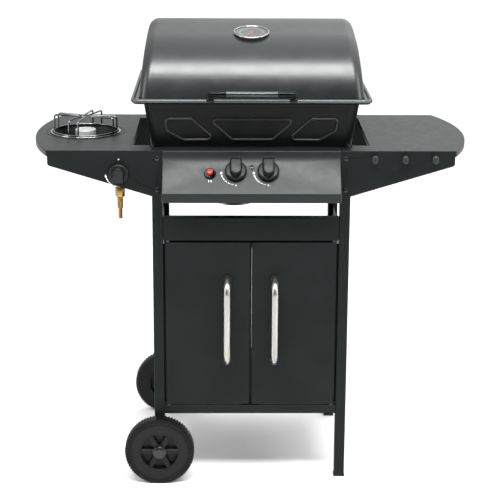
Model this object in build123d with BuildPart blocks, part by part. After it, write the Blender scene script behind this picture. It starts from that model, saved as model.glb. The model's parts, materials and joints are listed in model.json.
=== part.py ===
from build123d import *
from math import atan2, cos, radians, sin
import os

# A gas barbecue on a two-wheeled cart, in millimetres. X runs to the right, Y to the back and Z up.
# The origin is on the floor, under the middle of the whole barbecue.

# Driving dimensions
SHEET = 1.2                     # thickness of the folded sheet steel
LEG = 25.0                      # square leg tube
LEG_WALL = 1.5
HALF_FRAME = 235.0              # outer faces of the legs
FRONT = -203.0                  # front faces of the front legs
REAR = 222.0                    # rear faces of the rear legs
SHELF_TOP = 830.0
HALF_LENGTH = 528.0             # middle of the bowed ends of the side shelves
WHEEL_RADIUS = 83.0
WHEEL_WIDTH = 34.0
AXLE_RADIUS = 5.0
RUNNING = 0.05                  # radial clearance of a running fit
TOUCH_GAP = 0.3                 # space left between faces that move past each other

CABINET_FLOOR = 190.8
DOOR_BOTTOM, DOOR_TOP = 194.0, 606.0
HEADER_BOTTOM, HEADER_TOP = 611.0, 667.0
DOOR_THICKNESS = 14.0
DOOR_PIN = (199.0, FRONT + 6.5)
PIN_RADIUS = 3.0

PANEL_HALF = 209.5              # control panel, between the two fascias
PANEL_TOP_Y = FRONT - 3.0
PANEL_LIP_Y = FRONT - 63.5
PANEL_FOLD_Z, PANEL_LIP_Z, PANEL_BOTTOM = 808.0, 740.5, 718.5

TUB_RIM, TUB_STEP, TUB_FLOOR = 943.0, 828.8, 700.0
LID_BOTTOM = 945.0
LID_HALF = 264.5
LID_SKIN = 1.5
LID_EDGE_RADIUS = 26.0
LID_DRAFT = 6.5                 # lean of the lid's sides, degrees
LID_PIVOT = (244.0, 947.0)      # Y and Z of the lid's hinge line

BURNER_CENTRE = (-408.0, 19.5)  # side burner in the left shelf
SIDE_KNOB = (-312.0, 775.0)     # X and Z on the left fascia
KNOB_X = (-37.0, 39.0)          # the two knobs on the control panel
KNOB_LIFT = 4.0                 # gap under a knob, which leaves room to press it
KNOB_PRESS = 3.0
STEM_RADIUS = 3.0

LEG_X = HALF_FRAME - LEG / 2
LEG_TOP = SHELF_TOP - SHEET
INNER_X = HALF_FRAME - LEG
SIDES = (("left", -1), ("right", 1))

# The control panel's slope: a plane with X to the right, Y up the slope and Z out of it.
slope_run = PANEL_TOP_Y - PANEL_LIP_Y
slope_drop = PANEL_FOLD_Z - PANEL_LIP_Z
slope_angle = atan2(slope_run, slope_drop)
SLOPE_OUT = (0, -cos(slope_angle), sin(slope_angle))


def slope_plane(x, below_fold):
    """The plane on the sloping face at x, a distance down from the fold at its top."""
    y = PANEL_TOP_Y - below_fold * sin(slope_angle)
    z = PANEL_FOLD_Z - below_fold * cos(slope_angle)
    return Plane(origin=(x, y, z), x_dir=(1, 0, 0), z_dir=SLOPE_OUT)


KNOB_PLANES = {
    "left": slope_plane(KNOB_X[0], 32.0),
    "right": slope_plane(KNOB_X[1], 32.0),
    "side": Plane(origin=(SIDE_KNOB[0], FRONT - SHEET, SIDE_KNOB[1]), x_dir=(1, 0, 0), z_dir=(0, -1, 0)),
}
IGNITER_PLANE = slope_plane(-97.5, 37.0)
PANEL_SCREW_PLANE = slope_plane(0.5, 20.0)

os.makedirs("parts", exist_ok=True)


def save(piece, name):
    """Labels a finished piece and writes it to its own file."""
    piece.part.label = name
    export_step(piece.part, f"parts/{name}.step")


def block(low, high, mode=Mode.ADD):
    """A block between two opposite corners, added to the piece being built or cut from it."""
    centre = tuple((a + b) / 2 for a, b in zip(low, high))
    with Locations(centre):
        Box(*[b - a for a, b in zip(low, high)], mode=mode)


def rod(start, end, radius, mode=Mode.ADD):
    """A round bar from one point to another."""
    axis = Vector(*end) - Vector(*start)
    with Locations(Plane(origin=start, z_dir=axis).location):
        Cylinder(radius, axis.length, align=(Align.CENTER, Align.CENTER, Align.MIN), mode=mode)


def ring_block(low, high, wall):
    """A rectangular frame lying flat, with bars as wide as wall."""
    block(low, high)
    bore_low = (low[0] + wall, low[1] + wall, low[2] - 1)
    bore_high = (high[0] - wall, high[1] - wall, high[2] + 1)
    block(bore_low, bore_high, Mode.SUBTRACT)


# --- Frame -------------------------------------------------------------------------------------------

FRONT_LEG_Y = FRONT + LEG / 2
REAR_LEG_Y = REAR - LEG / 2
AXLE_Z = WHEEL_RADIUS
LEG_BOTTOMS = {"left": 62.0, "right": 4.0}
SCREW_Z = (735.0, 811.0)
SCREW_X = 222.0
SCREW_RADIUS = 2.5


def leg_tube(x, y, bottom):
    """One upright of square tube."""
    half = LEG / 2
    block((x - half, y - half, bottom), (x + half, y + half, LEG_TOP))
    half = half - LEG_WALL
    block((x - half, y - half, bottom - 1), (x + half, y + half, LEG_TOP + 1), Mode.SUBTRACT)


for side, sign in SIDES:
    with BuildPart() as front_leg:
        leg_tube(sign * LEG_X, FRONT_LEG_Y, LEG_BOTTOMS[side])
        for z in SCREW_Z:
            rod((sign * SCREW_X, FRONT - 1, z), (sign * SCREW_X, FRONT + 3, z), SCREW_RADIUS, Mode.SUBTRACT)
        if side == "left":
            rod((-LEG_X, FRONT - 1, AXLE_Z), (-LEG_X, FRONT + LEG + 1, AXLE_Z), AXLE_RADIUS, Mode.SUBTRACT)
    save(front_leg, f"leg_front_{side}")

with BuildPart() as rear_legs:
    for side, sign in SIDES:
        leg_tube(sign * LEG_X, REAR_LEG_Y, LEG_BOTTOMS[side])
        for z in SCREW_Z:
            rod((sign * SCREW_X, REAR - 3, z), (sign * SCREW_X, REAR + 1, z), SCREW_RADIUS, Mode.SUBTRACT)
    rod((-LEG_X, REAR - LEG - 1, AXLE_Z), (-LEG_X, REAR + 1, AXLE_Z), AXLE_RADIUS, Mode.SUBTRACT)
save(rear_legs, "rear_legs")

with BuildPart() as leg_caps:
    plug_half = LEG / 2 - LEG_WALL
    for y in (FRONT_LEG_Y, REAR_LEG_Y):
        foot_half = LEG / 2 + 1.5
        block((LEG_X - foot_half, y - foot_half, 0), (LEG_X + foot_half, y + foot_half, LEG_BOTTOMS["right"]))
        block((LEG_X - plug_half, y - plug_half, 4), (LEG_X + plug_half, y + plug_half, 24))
        block((-LEG_X - LEG / 2, y - LEG / 2, 59), (-LEG_X + LEG / 2, y + LEG / 2, LEG_BOTTOMS["left"]))
        block((-LEG_X - plug_half, y - plug_half, 62), (-LEG_X + plug_half, y + plug_half, 74))
save(leg_caps, "leg_caps")

with BuildPart() as frame_rails:
    for side, sign in SIDES:
        x_pair = sorted((sign * INNER_X, sign * HALF_FRAME))
        block((x_pair[0], FRONT + LEG, 803.8), (x_pair[1], REAR - LEG, LEG_TOP))
    block((-INNER_X, REAR - LEG, 637), (INNER_X, REAR, 662))
save(frame_rails, "frame_rails")

# --- Wheels and axle ---------------------------------------------------------------------------------

WHEEL_GAP = 6.0
HUB_RADIUS = 16.5
RECESS_RADIUS = 45.0
WEB = 6.0
WEB_DEPTH = 14.0               # how far the web is sunk behind the wheel's face
SPOKE_DEPTH = 3.0
SPOKE_WIDTH = 14.0
AXLE_SHORT = 3.0
wheel_front_face = FRONT - WHEEL_GAP - WHEEL_WIDTH
wheel_rear_face = REAR + WHEEL_GAP + WHEEL_WIDTH

with BuildPart() as wheel_axle:
    axle_front = (-LEG_X, wheel_front_face + AXLE_SHORT, AXLE_Z)
    axle_rear = (-LEG_X, wheel_rear_face - AXLE_SHORT, AXLE_Z)
    rod(axle_front, axle_rear, AXLE_RADIUS)
save(wheel_axle, "wheel_axle")


def wheel(outer_face, inward):
    """A moulded wheel: a solid tyre ring, a sunk web with six spokes and a hub that reaches to the leg.
    The inward sign points from the outer face towards the leg."""
    plane = Plane(origin=(-LEG_X, outer_face, AXLE_Z), x_dir=(1, 0, 0), z_dir=(0, inward, 0))
    with BuildPart() as piece:
        with BuildSketch(plane):
            Circle(WHEEL_RADIUS)
            Circle(RECESS_RADIUS, mode=Mode.SUBTRACT)
        extrude(amount=WHEEL_WIDTH)
        fillet(piece.edges().filter_by(GeomType.CIRCLE).filter_by(lambda e: e.radius > RECESS_RADIUS + 1), 5)
        with BuildSketch(plane.offset(WEB_DEPTH)):
            Circle(RECESS_RADIUS)
        extrude(amount=WEB)
        with BuildSketch(plane):
            Circle(HUB_RADIUS)
        extrude(amount=WHEEL_WIDTH + WHEEL_GAP - TOUCH_GAP)
        with BuildSketch(plane.offset(SPOKE_DEPTH)):
            with PolarLocations((HUB_RADIUS + RECESS_RADIUS) / 2, 6):
                Rectangle(RECESS_RADIUS - HUB_RADIUS + 2, SPOKE_WIDTH)
        extrude(amount=WEB_DEPTH - SPOKE_DEPTH + 1)
        with BuildSketch(plane.offset(-1)):
            Circle(AXLE_RADIUS + RUNNING)
        extrude(amount=WHEEL_WIDTH + WHEEL_GAP + 2, mode=Mode.SUBTRACT)
    return piece


def hub_cap(outer_face, inward):
    """A shallow domed cap on the end of a hub."""
    plane = Plane(origin=(-LEG_X, outer_face, AXLE_Z), x_dir=(1, 0, 0), z_dir=(0, -inward, 0))
    with BuildPart() as piece:
        with BuildSketch(plane):
            Circle(HUB_RADIUS)
        extrude(amount=5)
        fillet(piece.faces().sort_by(Axis.Y)[0 if inward > 0 else -1].edges(), 4)
    return piece


for name, outer_face, inward in (("front", wheel_front_face, 1), ("rear", wheel_rear_face, -1)):
    save(wheel(outer_face, inward), f"wheel_{name}")
    save(hub_cap(outer_face, inward), f"hub_cap_{name}")

# --- Cabinet -----------------------------------------------------------------------------------------

with BuildPart() as bottom_shelf:
    block((-INNER_X, FRONT, 169.5), (INNER_X, REAR, CABINET_FLOOR))
    tray_low = (-INNER_X + SHEET, FRONT + SHEET, 168)
    tray_high = (INNER_X - SHEET, REAR - SHEET, CABINET_FLOOR - SHEET)
    block(tray_low, tray_high, Mode.SUBTRACT)
    for sign in (-1, 1):
        pin_x, pin_y = sign * DOOR_PIN[0], DOOR_PIN[1]
        rod((pin_x, pin_y, 185), (pin_x, pin_y, 195), PIN_RADIUS, Mode.SUBTRACT)
save(bottom_shelf, "bottom_shelf")

SIDE_PANEL_LOW, SIDE_PANEL_TOP = 175.0, 600.0

with BuildPart() as side_panels:
    for sign in (-1, 1):
        x_pair = sorted((sign * LEG_X, sign * (LEG_X + SHEET)))
        block((x_pair[0], FRONT + LEG, SIDE_PANEL_LOW), (x_pair[1], REAR - LEG, SIDE_PANEL_TOP))
save(side_panels, "side_panels")

with BuildPart() as header_panel:
    depth = 24
    block((-INNER_X + 0.5, FRONT, HEADER_BOTTOM), (INNER_X - 0.5, FRONT + depth, HEADER_TOP))
    block(
        (-INNER_X + 0.5 + SHEET, FRONT + SHEET, HEADER_BOTTOM + SHEET),
        (INNER_X - 0.5 - SHEET, FRONT + depth + 1, HEADER_TOP - SHEET),
        Mode.SUBTRACT,
    )
    for sign in (-1, 1):
        pin_x, pin_y = sign * DOOR_PIN[0], DOOR_PIN[1]
        rod((pin_x, pin_y, HEADER_BOTTOM - 1), (pin_x, pin_y, HEADER_BOTTOM + 3), PIN_RADIUS, Mode.SUBTRACT)
save(header_panel, "header_panel")

with BuildPart() as door_hinge_pins:
    for sign in (-1, 1):
        pin_x, pin_y = sign * DOOR_PIN[0], DOOR_PIN[1]
        rod((pin_x, pin_y, CABINET_FLOOR - 4), (pin_x, pin_y, DOOR_BOTTOM + 8), PIN_RADIUS)
        rod((pin_x, pin_y, CABINET_FLOOR), (pin_x, pin_y, DOOR_BOTTOM - TOUCH_GAP), 5.5)
        rod((pin_x, pin_y, DOOR_TOP - 8), (pin_x, pin_y, HEADER_BOTTOM + 4), PIN_RADIUS)
        rod((pin_x, pin_y, DOOR_TOP + TOUCH_GAP), (pin_x, pin_y, HEADER_BOTTOM), 5.5)
save(door_hinge_pins, "door_hinge_pins")

with BuildPart() as door_catches:
    back = FRONT + DOOR_THICKNESS
    block((-24, back + TOUCH_GAP, DOOR_TOP - 16), (24, FRONT + 24, HEADER_BOTTOM))
    block((-24, back + TOUCH_GAP, CABINET_FLOOR), (24, FRONT + 24, DOOR_BOTTOM + 14))
save(door_catches, "door_catches")

HANDLE_X = 57.0
HANDLE_RADIUS = 8.5
HANDLE_REACH = 41.0
HANDLE_LOW, HANDLE_HIGH = 308.5, 516.5

for side, sign in SIDES:
    with BuildPart() as door:
        x_pair = sorted((sign * 2.25, sign * 205.25))
        block((x_pair[0], FRONT, DOOR_BOTTOM), (x_pair[1], FRONT + DOOR_THICKNESS, DOOR_TOP))
        block(
            (x_pair[0] + SHEET, FRONT + SHEET, DOOR_BOTTOM + SHEET),
            (x_pair[1] - SHEET, FRONT + DOOR_THICKNESS + 1, DOOR_TOP - SHEET),
            Mode.SUBTRACT,
        )
        pin_x, pin_y = sign * DOOR_PIN[0], DOOR_PIN[1]
        pin_low = (pin_x, pin_y, DOOR_BOTTOM - 1)
        pin_high = (pin_x, pin_y, DOOR_TOP + 1)
        rod(pin_low, pin_high, PIN_RADIUS + RUNNING, Mode.SUBTRACT)
    save(door, f"door_{side}")

    with BuildPart() as door_handle:
        x = sign * HANDLE_X
        with BuildLine() as bow:
            FilletPolyline(
                (x, FRONT, HANDLE_LOW),
                (x, FRONT - HANDLE_REACH, HANDLE_LOW + 4),
                (x, FRONT - HANDLE_REACH, HANDLE_HIGH - 4),
                (x, FRONT, HANDLE_HIGH),
                radius=30,
            )
        with BuildSketch(Plane(origin=bow.line @ 0, z_dir=bow.line % 0)):
            Circle(HANDLE_RADIUS)
            Circle(HANDLE_RADIUS - 1.5, mode=Mode.SUBTRACT)
        sweep()
        block((x - 20, FRONT, HANDLE_LOW - 20), (x + 20, FRONT + 20, HANDLE_HIGH + 20), Mode.SUBTRACT)
    save(door_handle, f"door_{side}_handle")

# --- Side shelves, fascias and rear brackets -----------------------------------------------------------

SHELF_SKIRT = 14.0
SHELF_FRONT = FRONT - SHEET
SHELF_REAR = 246.5
SHELF_END_X = 481.5
NOTCH_X = 283.0
NOTCH_FRONT, NOTCH_REAR = -142.5, 200.0
TUB_SHOULDER_X, TUB_SHOULDER_Y = 240.0, -166.0
BOWL_HOLE = 84.0
FASCIA_OUTER_Z, FASCIA_INNER_Z, FASCIA_LEG_Z = 794.0, 712.0, 719.5


def shelf_outline(sign, inset):
    """The shelf seen from above. With an inset, the outline of the space inside its turned-down edge,
    which stays open towards the front, where the fascia closes it."""
    front_edge = SHELF_FRONT if inset == 0 else SHELF_FRONT - 5
    end = SHELF_END_X - inset
    rear_edge = SHELF_REAR - inset
    inner = INNER_X + inset
    with BuildSketch() as outline:
        with BuildLine():
            Line((sign * inner, front_edge), (sign * end, front_edge))
            if inset:
                Line((sign * end, front_edge), (sign * end, SHELF_FRONT))
            bulge = (sign * (HALF_LENGTH - inset), 0)
            ThreePointArc((sign * end, SHELF_FRONT), bulge, (sign * end, rear_edge))
            Polyline(
                (sign * end, rear_edge),
                (sign * inner, rear_edge),
                (sign * inner, NOTCH_REAR + inset),
                (sign * (NOTCH_X + inset), NOTCH_REAR + inset),
                (sign * (NOTCH_X + inset), NOTCH_FRONT - inset),
                (sign * (TUB_SHOULDER_X + inset), NOTCH_FRONT - inset),
                (sign * (TUB_SHOULDER_X + inset), TUB_SHOULDER_Y - inset),
                (sign * inner, TUB_SHOULDER_Y - inset),
                (sign * inner, front_edge),
            )
        make_face()
    return outline.sketch_local


for side, sign in SIDES:
    with BuildPart() as shelf:
        with BuildSketch(Plane.XY.offset(SHELF_TOP)):
            add(shelf_outline(sign, 0))
        extrude(amount=-SHELF_SKIRT)
        with BuildSketch(Plane.XY.offset(SHELF_TOP - SHEET)):
            add(shelf_outline(sign, SHEET))
        extrude(amount=-SHELF_SKIRT, mode=Mode.SUBTRACT)
        x_pair = sorted((sign * (INNER_X - 1), sign * (NOTCH_X + 1)))
        notch_low = (x_pair[0], NOTCH_REAR - 1, SHELF_TOP - 20)
        block(notch_low, (x_pair[1], SHELF_REAR + 1, LEG_TOP), Mode.SUBTRACT)
        notch_low = (x_pair[0], SHELF_FRONT - 1, SHELF_TOP - 20)
        block(notch_low, (x_pair[1], NOTCH_FRONT + 1, LEG_TOP), Mode.SUBTRACT)
        if side == "left":
            rod((*BURNER_CENTRE, SHELF_TOP - 5), (*BURNER_CENTRE, SHELF_TOP + 5), BOWL_HOLE, Mode.SUBTRACT)
    save(shelf, f"shelf_{side}")


def fascia_outline(sign):
    """The tapering plate under a shelf, seen from the front."""
    with BuildSketch() as outline:
        with BuildLine():
            FilletPolyline(
                (sign * INNER_X, LEG_TOP),
                (sign * (SHELF_END_X - 2), LEG_TOP),
                (sign * (SHELF_END_X - 2), FASCIA_OUTER_Z),
                (sign * HALF_FRAME, FASCIA_LEG_Z),
                (sign * INNER_X, FASCIA_INNER_Z),
                close=True,
                radius=(0.6, 0.6, 7, 3, 0.6),
            )
        make_face()
    return outline.sketch_local


HOOK_X = (289.0, 360.0, 431.0)
HOOK_Z = 815.0
HOOK_RADIUS = 3.5

for side, sign in SIDES:
    with BuildPart() as fascia:
        with BuildSketch(Plane.XZ.offset(-FRONT)):
            add(fascia_outline(sign))
        extrude(amount=SHEET)
        for z in SCREW_Z:
            rod((sign * SCREW_X, FRONT - 3, z), (sign * SCREW_X, FRONT + 1, z), SCREW_RADIUS, Mode.SUBTRACT)
        if side == "left":
            stem_hole_front = (SIDE_KNOB[0], FRONT - 3, SIDE_KNOB[1])
            stem_hole_rear = (SIDE_KNOB[0], FRONT + 1, SIDE_KNOB[1])
            rod(stem_hole_front, stem_hole_rear, 8, Mode.SUBTRACT)
        else:
            for x in HOOK_X:
                rod((x, FRONT - 3, HOOK_Z), (x, FRONT + 1, HOOK_Z), HOOK_RADIUS, Mode.SUBTRACT)
    save(fascia, f"fascia_{side}")

with BuildPart() as rear_brackets:
    for side, sign in SIDES:
        with BuildSketch(Plane.XZ.offset(-REAR)):
            add(fascia_outline(sign))
        extrude(amount=-SHEET)
        for z in SCREW_Z:
            rod((sign * SCREW_X, REAR - 1, z), (sign * SCREW_X, REAR + 3, z), SCREW_RADIUS, Mode.SUBTRACT)
save(rear_brackets, "rear_brackets")

with BuildPart() as hook_pegs:
    for x in HOOK_X:
        rod((x, FRONT + 4, HOOK_Z), (x, FRONT - 19, HOOK_Z), HOOK_RADIUS)
        rod((x, FRONT - 19, HOOK_Z), (x, FRONT - 24, HOOK_Z), 7.5)
        rod((x, FRONT, HOOK_Z), (x, FRONT + 4, HOOK_Z), 6.5)
save(hook_pegs, "hook_pegs")

SCREW_HEAD = 4.6


def screw(plane):
    """A pan-headed screw whose head sits on the plane."""
    with Locations(plane.location):
        Cylinder(SCREW_HEAD, 2.6, align=(Align.CENTER, Align.CENTER, Align.MIN))
        Cylinder(SCREW_RADIUS, 2.5, align=(Align.CENTER, Align.CENTER, Align.MAX))


with BuildPart() as panel_screws:
    for side, sign in SIDES:
        for z in SCREW_Z:
            screw(Plane(origin=(sign * SCREW_X, FRONT - SHEET, z), z_dir=(0, -1, 0)))
            screw(Plane(origin=(sign * SCREW_X, REAR + SHEET, z), z_dir=(0, 1, 0)))
    screw(PANEL_SCREW_PLANE)
save(panel_screws, "panel_screws")

# --- Control panel, knobs and gas train ----------------------------------------------------------------

IGNITER_BEZEL = 14.3
IGNITER_BODY = 10.5
BUTTON_RADIUS = 6.6
BUTTON_PRESS = 6.0

with BuildPart() as control_panel:
    with BuildSketch(Plane.YZ.offset(-PANEL_HALF)):
        Polygon(
            (FRONT + 38, SHELF_TOP),
            (PANEL_TOP_Y, SHELF_TOP),
            (PANEL_TOP_Y, PANEL_FOLD_Z),
            (PANEL_LIP_Y, PANEL_LIP_Z),
            (PANEL_LIP_Y, PANEL_BOTTOM),
            (FRONT, PANEL_BOTTOM),
            (FRONT, SHELF_TOP - SHEET),
            (FRONT + 38, SHELF_TOP - SHEET),
            align=None,
        )
    extrude(amount=2 * PANEL_HALF)
    fold = SHEET * (1 - cos(slope_angle)) / sin(slope_angle)
    with BuildSketch(Plane.YZ.offset(-PANEL_HALF + SHEET)):
        Polygon(
            (PANEL_TOP_Y + SHEET, SHELF_TOP - SHEET),
            (PANEL_TOP_Y + SHEET, PANEL_FOLD_Z - fold),
            (PANEL_LIP_Y + SHEET, PANEL_LIP_Z - fold),
            (PANEL_LIP_Y + SHEET, PANEL_BOTTOM + SHEET),
            (PANEL_LIP_Y + 16, PANEL_BOTTOM + SHEET),
            (PANEL_LIP_Y + 16, PANEL_BOTTOM - 5),
            (FRONT + 45, PANEL_BOTTOM - 5),
            (FRONT + 45, SHELF_TOP - SHEET),
            align=None,
        )
    extrude(amount=2 * (PANEL_HALF - SHEET), mode=Mode.SUBTRACT)
    for plane, radius in (
        (KNOB_PLANES["left"], 8),
        (KNOB_PLANES["right"], 8),
        (IGNITER_PLANE, IGNITER_BODY),
        (PANEL_SCREW_PLANE, SCREW_RADIUS),
    ):
        with Locations(plane.location):
            Cylinder(radius, 8, mode=Mode.SUBTRACT)
save(control_panel, "control_panel")

STEM_BELOW, STEM_ABOVE = 26.0, 20.0
SKIRT_RADIUS = 26.0
SKIRT_HEIGHT = 9.0
GRIP_HEIGHT = 20.0


def stem(plane):
    """The valve's turning spindle, which carries the knob."""
    with BuildPart() as piece:
        with BuildSketch(plane.offset(-STEM_BELOW)):
            Circle(STEM_RADIUS)
        extrude(amount=STEM_BELOW + STEM_ABOVE)
    return piece


def knob(plane, skirt_radius):
    """A round skirt with a grip bar across it, which points up the panel when the gas is off."""
    with BuildPart() as piece:
        with BuildSketch(plane.offset(KNOB_LIFT)):
            Circle(skirt_radius)
        extrude(amount=SKIRT_HEIGHT, taper=12)
        with BuildSketch(plane.offset(KNOB_LIFT + 1)):
            Circle(skirt_radius - 3)
            with Locations((-skirt_radius, 0)):
                Rectangle(2 * skirt_radius - 19, 2 * skirt_radius, mode=Mode.SUBTRACT)
            with Locations((skirt_radius, 0)):
                Rectangle(2 * skirt_radius - 19, 2 * skirt_radius, mode=Mode.SUBTRACT)
        extrude(amount=SKIRT_HEIGHT + GRIP_HEIGHT - 1)
        fillet(piece.faces().sort_by(Axis(plane.origin, plane.z_dir))[-1].edges(), 2.5)
        with BuildSketch(plane):
            Circle(STEM_RADIUS + RUNNING)
        extrude(amount=STEM_ABOVE + TOUCH_GAP, mode=Mode.SUBTRACT)
    return piece


for name, radius in (("left", SKIRT_RADIUS), ("right", SKIRT_RADIUS), ("side", 24.5)):
    save(stem(KNOB_PLANES[name]), f"stem_{name}")
    save(knob(KNOB_PLANES[name], radius), f"knob_{name}")

PIPE_RADIUS = 5.0
VALVE_TOP, VALVE_NECK, VALVE_END = 6.0, 42.0, 74.0
manifold_y = KNOB_PLANES["left"].origin.Y + VALVE_END * cos(slope_angle)
manifold_z = KNOB_PLANES["left"].origin.Z - VALVE_END * sin(slope_angle)
TEE_Z = 752.0
FITTING_TOP = 735.0
TEE_X = SIDE_KNOB[0]

with BuildPart() as main_valves:
    for name in ("left", "right"):
        plane = KNOB_PLANES[name]
        with BuildSketch(plane.offset(-VALVE_TOP)):
            Circle(10)
        extrude(amount=-(VALVE_NECK - VALVE_TOP))
        with BuildSketch(plane.offset(-VALVE_NECK)):
            RegularPolygon(13, 6)
        extrude(amount=-(VALVE_END - VALVE_NECK))
        with BuildSketch(plane.offset(-STEM_BELOW - KNOB_PRESS - 1)):
            Circle(STEM_RADIUS + RUNNING)
        extrude(amount=STEM_BELOW, mode=Mode.SUBTRACT)
    rod((-80, manifold_y, manifold_z), (80, manifold_y, manifold_z), PIPE_RADIUS, Mode.SUBTRACT)
save(main_valves, "main_valves")

with BuildPart() as side_valve:
    plane = KNOB_PLANES["side"]
    with BuildSketch(plane.offset(-VALVE_TOP)):
        Circle(10)
    extrude(amount=-(VALVE_NECK - VALVE_TOP + 6))
    rod((TEE_X, manifold_y, FITTING_TOP), (TEE_X, manifold_y, SIDE_KNOB[1]), 8)
    with BuildSketch(plane.offset(-STEM_BELOW - KNOB_PRESS - 1)):
        Circle(STEM_RADIUS + RUNNING)
    extrude(amount=STEM_BELOW, mode=Mode.SUBTRACT)
    rod((TEE_X + 4, manifold_y, TEE_Z), (TEE_X + 20, manifold_y, TEE_Z), PIPE_RADIUS, Mode.SUBTRACT)
save(side_valve, "side_valve")

feed_start = FRONT - SHEET + VALVE_NECK + 6
HEAD_TUBE = 9.0


with BuildPart() as manifold:
    with BuildLine() as manifold_path:
        FilletPolyline(
            (TEE_X + 4, manifold_y, TEE_Z),
            (-268, manifold_y, TEE_Z),
            (-246, manifold_y, manifold_z),
            (68, manifold_y, manifold_z),
            radius=20,
        )
    with BuildSketch(Plane(origin=manifold_path.line @ 0, z_dir=manifold_path.line % 0)):
        Circle(PIPE_RADIUS)
    sweep()

with BuildPart() as feed_tube:
    burner_x, burner_y = BURNER_CENTRE
    with BuildLine() as feed_path:
        FilletPolyline(
            (TEE_X, feed_start, SIDE_KNOB[1]),
            (TEE_X, -60, SIDE_KNOB[1]),
            (burner_x, -60, SIDE_KNOB[1]),
            (burner_x, burner_y - HEAD_TUBE + 1, SIDE_KNOB[1]),
            radius=20,
        )
    with BuildSketch(Plane(origin=feed_path.line @ 0, z_dir=feed_path.line % 0)):
        Circle(PIPE_RADIUS)
    sweep()
    rod((*BURNER_CENTRE, 760), (*BURNER_CENTRE, 800), HEAD_TUBE, Mode.SUBTRACT)

with BuildPart() as gas_pipes:
    add(manifold.part)
    add(feed_tube.part)
save(gas_pipes, "gas_pipes")

TAIL_RADIUS = 4.75
TAIL_TOP, TAIL_END = 683.0, 658.0

with BuildPart() as hose_fitting:
    with BuildSketch(Plane.XY.offset(FITTING_TOP)):
        with Locations((TEE_X, manifold_y)):
            RegularPolygon(10.2, 6, major_radius=False)
    extrude(amount=-23)
    rod((TEE_X, manifold_y, FITTING_TOP - 23), (TEE_X, manifold_y, TAIL_TOP), 5.9)
    rod((TEE_X, manifold_y, TAIL_TOP), (TEE_X, manifold_y, TAIL_END), TAIL_RADIUS)
    for z in (678, 672, 666):
        with BuildSketch(Plane.XY.offset(z)):
            with Locations((TEE_X, manifold_y)):
                Circle(TAIL_RADIUS + 1)
                Circle(TAIL_RADIUS - 0.7, mode=Mode.SUBTRACT)
        extrude(amount=-1.5, mode=Mode.SUBTRACT)
    rod((TEE_X, manifold_y, TAIL_END - 1), (TEE_X, manifold_y, FITTING_TOP + 1), 3, Mode.SUBTRACT)
save(hose_fitting, "hose_fitting")

with BuildPart() as igniter_body:
    with BuildSketch(IGNITER_PLANE):
        Circle(IGNITER_BEZEL)
    extrude(amount=5, taper=20)
    with BuildSketch(IGNITER_PLANE):
        Circle(IGNITER_BODY)
    extrude(amount=-38)
    with BuildSketch(IGNITER_PLANE.offset(-16)):
        Circle(BUTTON_RADIUS + RUNNING)
    extrude(amount=30, mode=Mode.SUBTRACT)
save(igniter_body, "igniter_body")

with BuildPart() as igniter_button:
    with BuildSketch(IGNITER_PLANE.offset(-16 + BUTTON_PRESS + TOUCH_GAP)):
        Circle(BUTTON_RADIUS)
    extrude(amount=16 - BUTTON_PRESS + 13)
    fillet(igniter_button.faces().sort_by(Axis(IGNITER_PLANE.origin, IGNITER_PLANE.z_dir))[-1].edges(), 2.5)
save(igniter_button, "igniter_button")

# --- Firebox and what it holds --------------------------------------------------------------------------

RIM_HALF_X = 276.0
RIM_FRONT, RIM_REAR = -213.5, 230.0
TUB_CORNER = 22.0
UPPER_TUB = ((TUB_STEP, 238.0, -162.5, 179.5), (TUB_RIM, 252.7, -202.5, 219.5))
LOWER_TUB = ((TUB_FLOOR, 130.0, -100.0, 120.0), (TUB_STEP, 204.0, -152.0, 170.0))


def tub_form(sections, inset, lift, extend):
    """A tapering box between two level outlines, drawn in all round, with its floor lifted and its top
    carried on past the rim by extend."""
    (low_z, *low), (high_z, *high) = sections
    with BuildPart() as form:
        for z in (low_z + lift, high_z + extend):
            share = (z - low_z) / (high_z - low_z)
            half, front_y, rear_y = [a + (b - a) * share for a, b in zip(low, high)]
            with BuildSketch(Plane.XY.offset(z)):
                with Locations((0, (front_y + rear_y) / 2)):
                    RectangleRounded(2 * (half - inset), rear_y - front_y - 2 * inset, TUB_CORNER - inset)
        loft()
    return form.part


DRAIN = (-40.0, 9.5)
VENTURI_Z = 755.0
VENTURI_RADIUS = 10.0

with BuildPart() as firebox:
    add(tub_form(UPPER_TUB, 0, 0, 0))
    add(tub_form(LOWER_TUB, 0, 0, 0))
    with BuildSketch(Plane.XY.offset(TUB_RIM)):
        with Locations((0, (RIM_FRONT + RIM_REAR) / 2)):
            RectangleRounded(2 * RIM_HALF_X, RIM_REAR - RIM_FRONT, 14)
    extrude(amount=-LID_SKIN)
    add(tub_form(UPPER_TUB, SHEET, SHEET, 2), mode=Mode.SUBTRACT)
    add(tub_form(LOWER_TUB, SHEET, SHEET, 2), mode=Mode.SUBTRACT)
    rod((*DRAIN, TUB_FLOOR - 2), (*DRAIN, TUB_FLOOR + 4), 12, Mode.SUBTRACT)
    for x in KNOB_X:
        rod((x, -160, VENTURI_Z), (x, -90, VENTURI_Z), VENTURI_RADIUS + 1, Mode.SUBTRACT)
save(firebox, "firebox")

BURNER_LOW, BURNER_HIGH = 747.0, 763.0

with BuildPart() as main_burners:
    for x, sign in zip(KNOB_X, (-1, 1)):
        x_pair = sorted((sign * 20, sign * 148))
        block((x_pair[0], -85, BURNER_LOW), (x_pair[1], 112, BURNER_HIGH))
        block((x_pair[0] + 36, -49, BURNER_LOW - 1), (x_pair[1] - 36, 76, BURNER_HIGH + 1), Mode.SUBTRACT)
        rod((x, -160, VENTURI_Z), (x, -84, VENTURI_Z), VENTURI_RADIUS - 2)
        rod((x, -160, VENTURI_Z), (x, -142, VENTURI_Z), VENTURI_RADIUS)
save(main_burners, "main_burners")

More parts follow.
